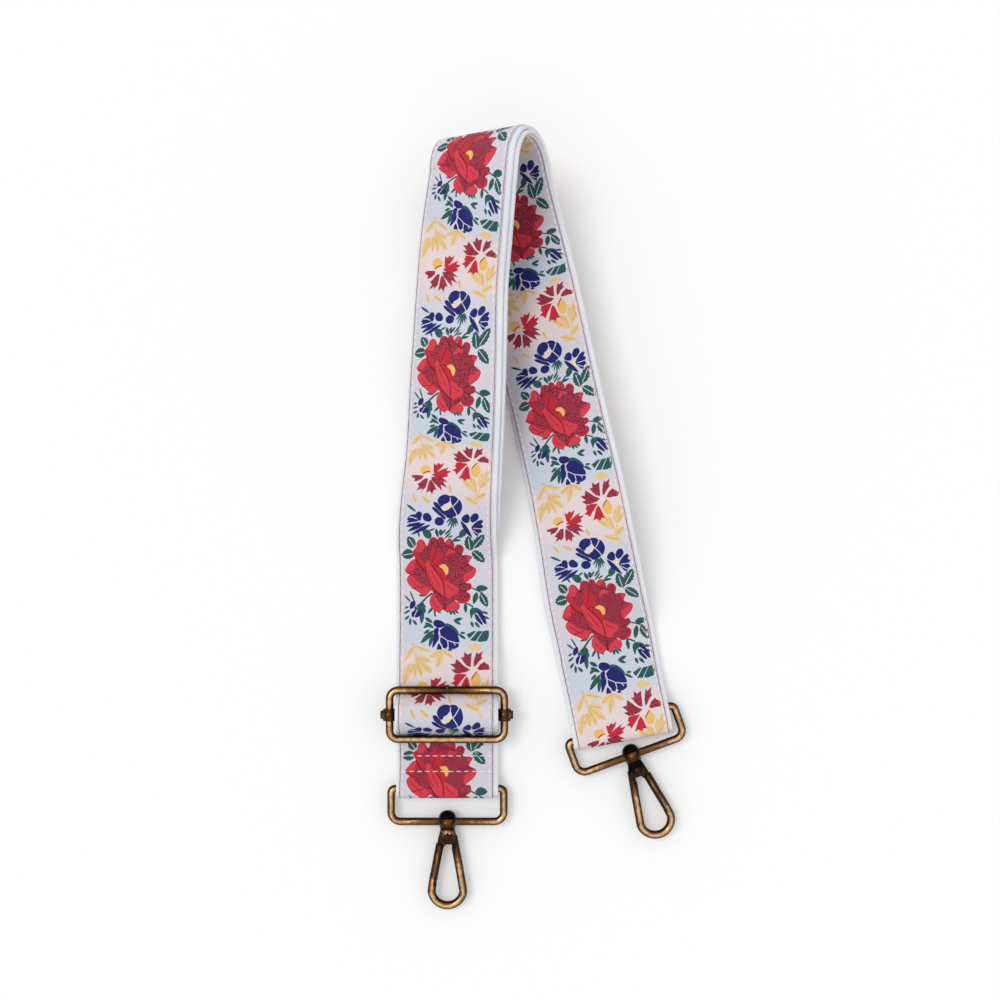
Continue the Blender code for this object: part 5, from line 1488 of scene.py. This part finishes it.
def copy_with_painted_light(node, material):
    """A smooth copy of a metal node, with each point's painted light: bright facing up or down, dark facing
    sideways.
    """
    source = bpy.data.objects[node]
    shape = bmesh.new()
    shape.from_mesh(source.data)
    shape.transform(source.matrix_world)
    bmesh.ops.remove_doubles(shape, verts=shape.verts, dist=JOIN_DISTANCE)
    mesh = bpy.data.meshes.new("metal_" + node)
    shape.to_mesh(mesh)
    shape.free()
    mesh.materials.clear()
    made = finished(mesh, material, METAL_SHARP_DEG)
    # Painted highlight and shade, from how far each point faces up or down.
    values = np.array([abs(vertex.normal.z) for vertex in mesh.vertices])
    if node.endswith("_hook"):
        swivel = joints[node + "_swivel"]
        axis, centre = Vector(swivel["axis"]), Vector(swivel["pos_m"])
        capped = [(vertex.co - centre).dot(axis) > CAP_FROM for vertex in mesh.vertices]
        values[capped] *= CAP_PAINTED_LIGHT_SHARE
    if node.endswith("_pin"):
        values *= PIN_PAINTED_LIGHT_SHARE
    attribute = mesh.attributes.new("rub", "FLOAT", "POINT")
    attribute.data.foreach_set("value", values)
    return made


metal_pieces = []
for body, nodes in frame["record"]["behaviour"]["bodies"].items():
    for node in nodes:
        if node.startswith(("webbing", "ribbon")):
            continue
        slot, material = ("spring_steel", steel) if node.endswith("spring") else ("antique_brass", brass)
        piece = copy_with_painted_light(node, material)
        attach(piece, body)
        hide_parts(node)
        metal_pieces.append(piece)
print("metal dressed:", len(metal_pieces), "pieces")

# %% [markdown]
# The strap lies on a plain pale sheet under a large soft light, as in a product photograph. The
# sheet and the world behind it are white where the camera or a reflection looks at them. For
# everything else the sheet is an ordinary pale surface, so that it still takes the soft shadow
# under the strap, and the world is a little dimmer.

# %% Floor, light and view
FLOOR_DROP = 0.5 * MM            # room for the thread under the strap
FLOOR_HALF = 30.0
FLOOR_GLOW = 0.10
WORLD_LIGHT = 0.72
SUN_DIRECTION = (0.5, -0.28, -1.0)
SUN_ANGLE_DEG = 28
SUN_STRENGTH = 0.85


def seen_by(look):
    """1 where the camera or a reflection looks, else 0."""
    rays = look.node("ShaderNodeLightPath")
    return rays.math("MAXIMUM", look.output_of(rays, "Is Glossy Ray"))


bpy.ops.mesh.primitive_plane_add(size=2 * FLOOR_HALF, location=(0, 0, -FLOOR_DROP))
floor = bpy.context.object
floor.name = "floor"
sheet = Look("pale_sheet", Roughness=0.9, Base_Color=(0.94, 0.94, 0.94, 1), Specular_IOR_Level=0.1,
             Emission_Strength=1.0)
sheet.feed(Emission_Color=sheet.mix(seen_by(sheet), (0, 0, 0, 1), (FLOOR_GLOW, FLOOR_GLOW, FLOOR_GLOW, 1)))
floor.data.materials.append(sheet.material)

world = bpy.data.worlds.new("studio")
scene.world = world
sky = Look("studio", world, Color=(1, 1, 1, 1))
sky.feed(Strength=seen_by(sky) * (1 - WORLD_LIGHT) + WORLD_LIGHT)

sun_data = bpy.data.lights.new("key", "SUN")
sun_data.angle = math.radians(SUN_ANGLE_DEG)
sun_data.energy = SUN_STRENGTH
sun = bpy.data.objects.new("key", sun_data)
sun.rotation_euler = Vector(SUN_DIRECTION).to_track_quat("-Z", "Y").to_euler()
scene.collection.objects.link(sun)
scene.view_settings.view_transform = "Standard"
print("floor and lights set")
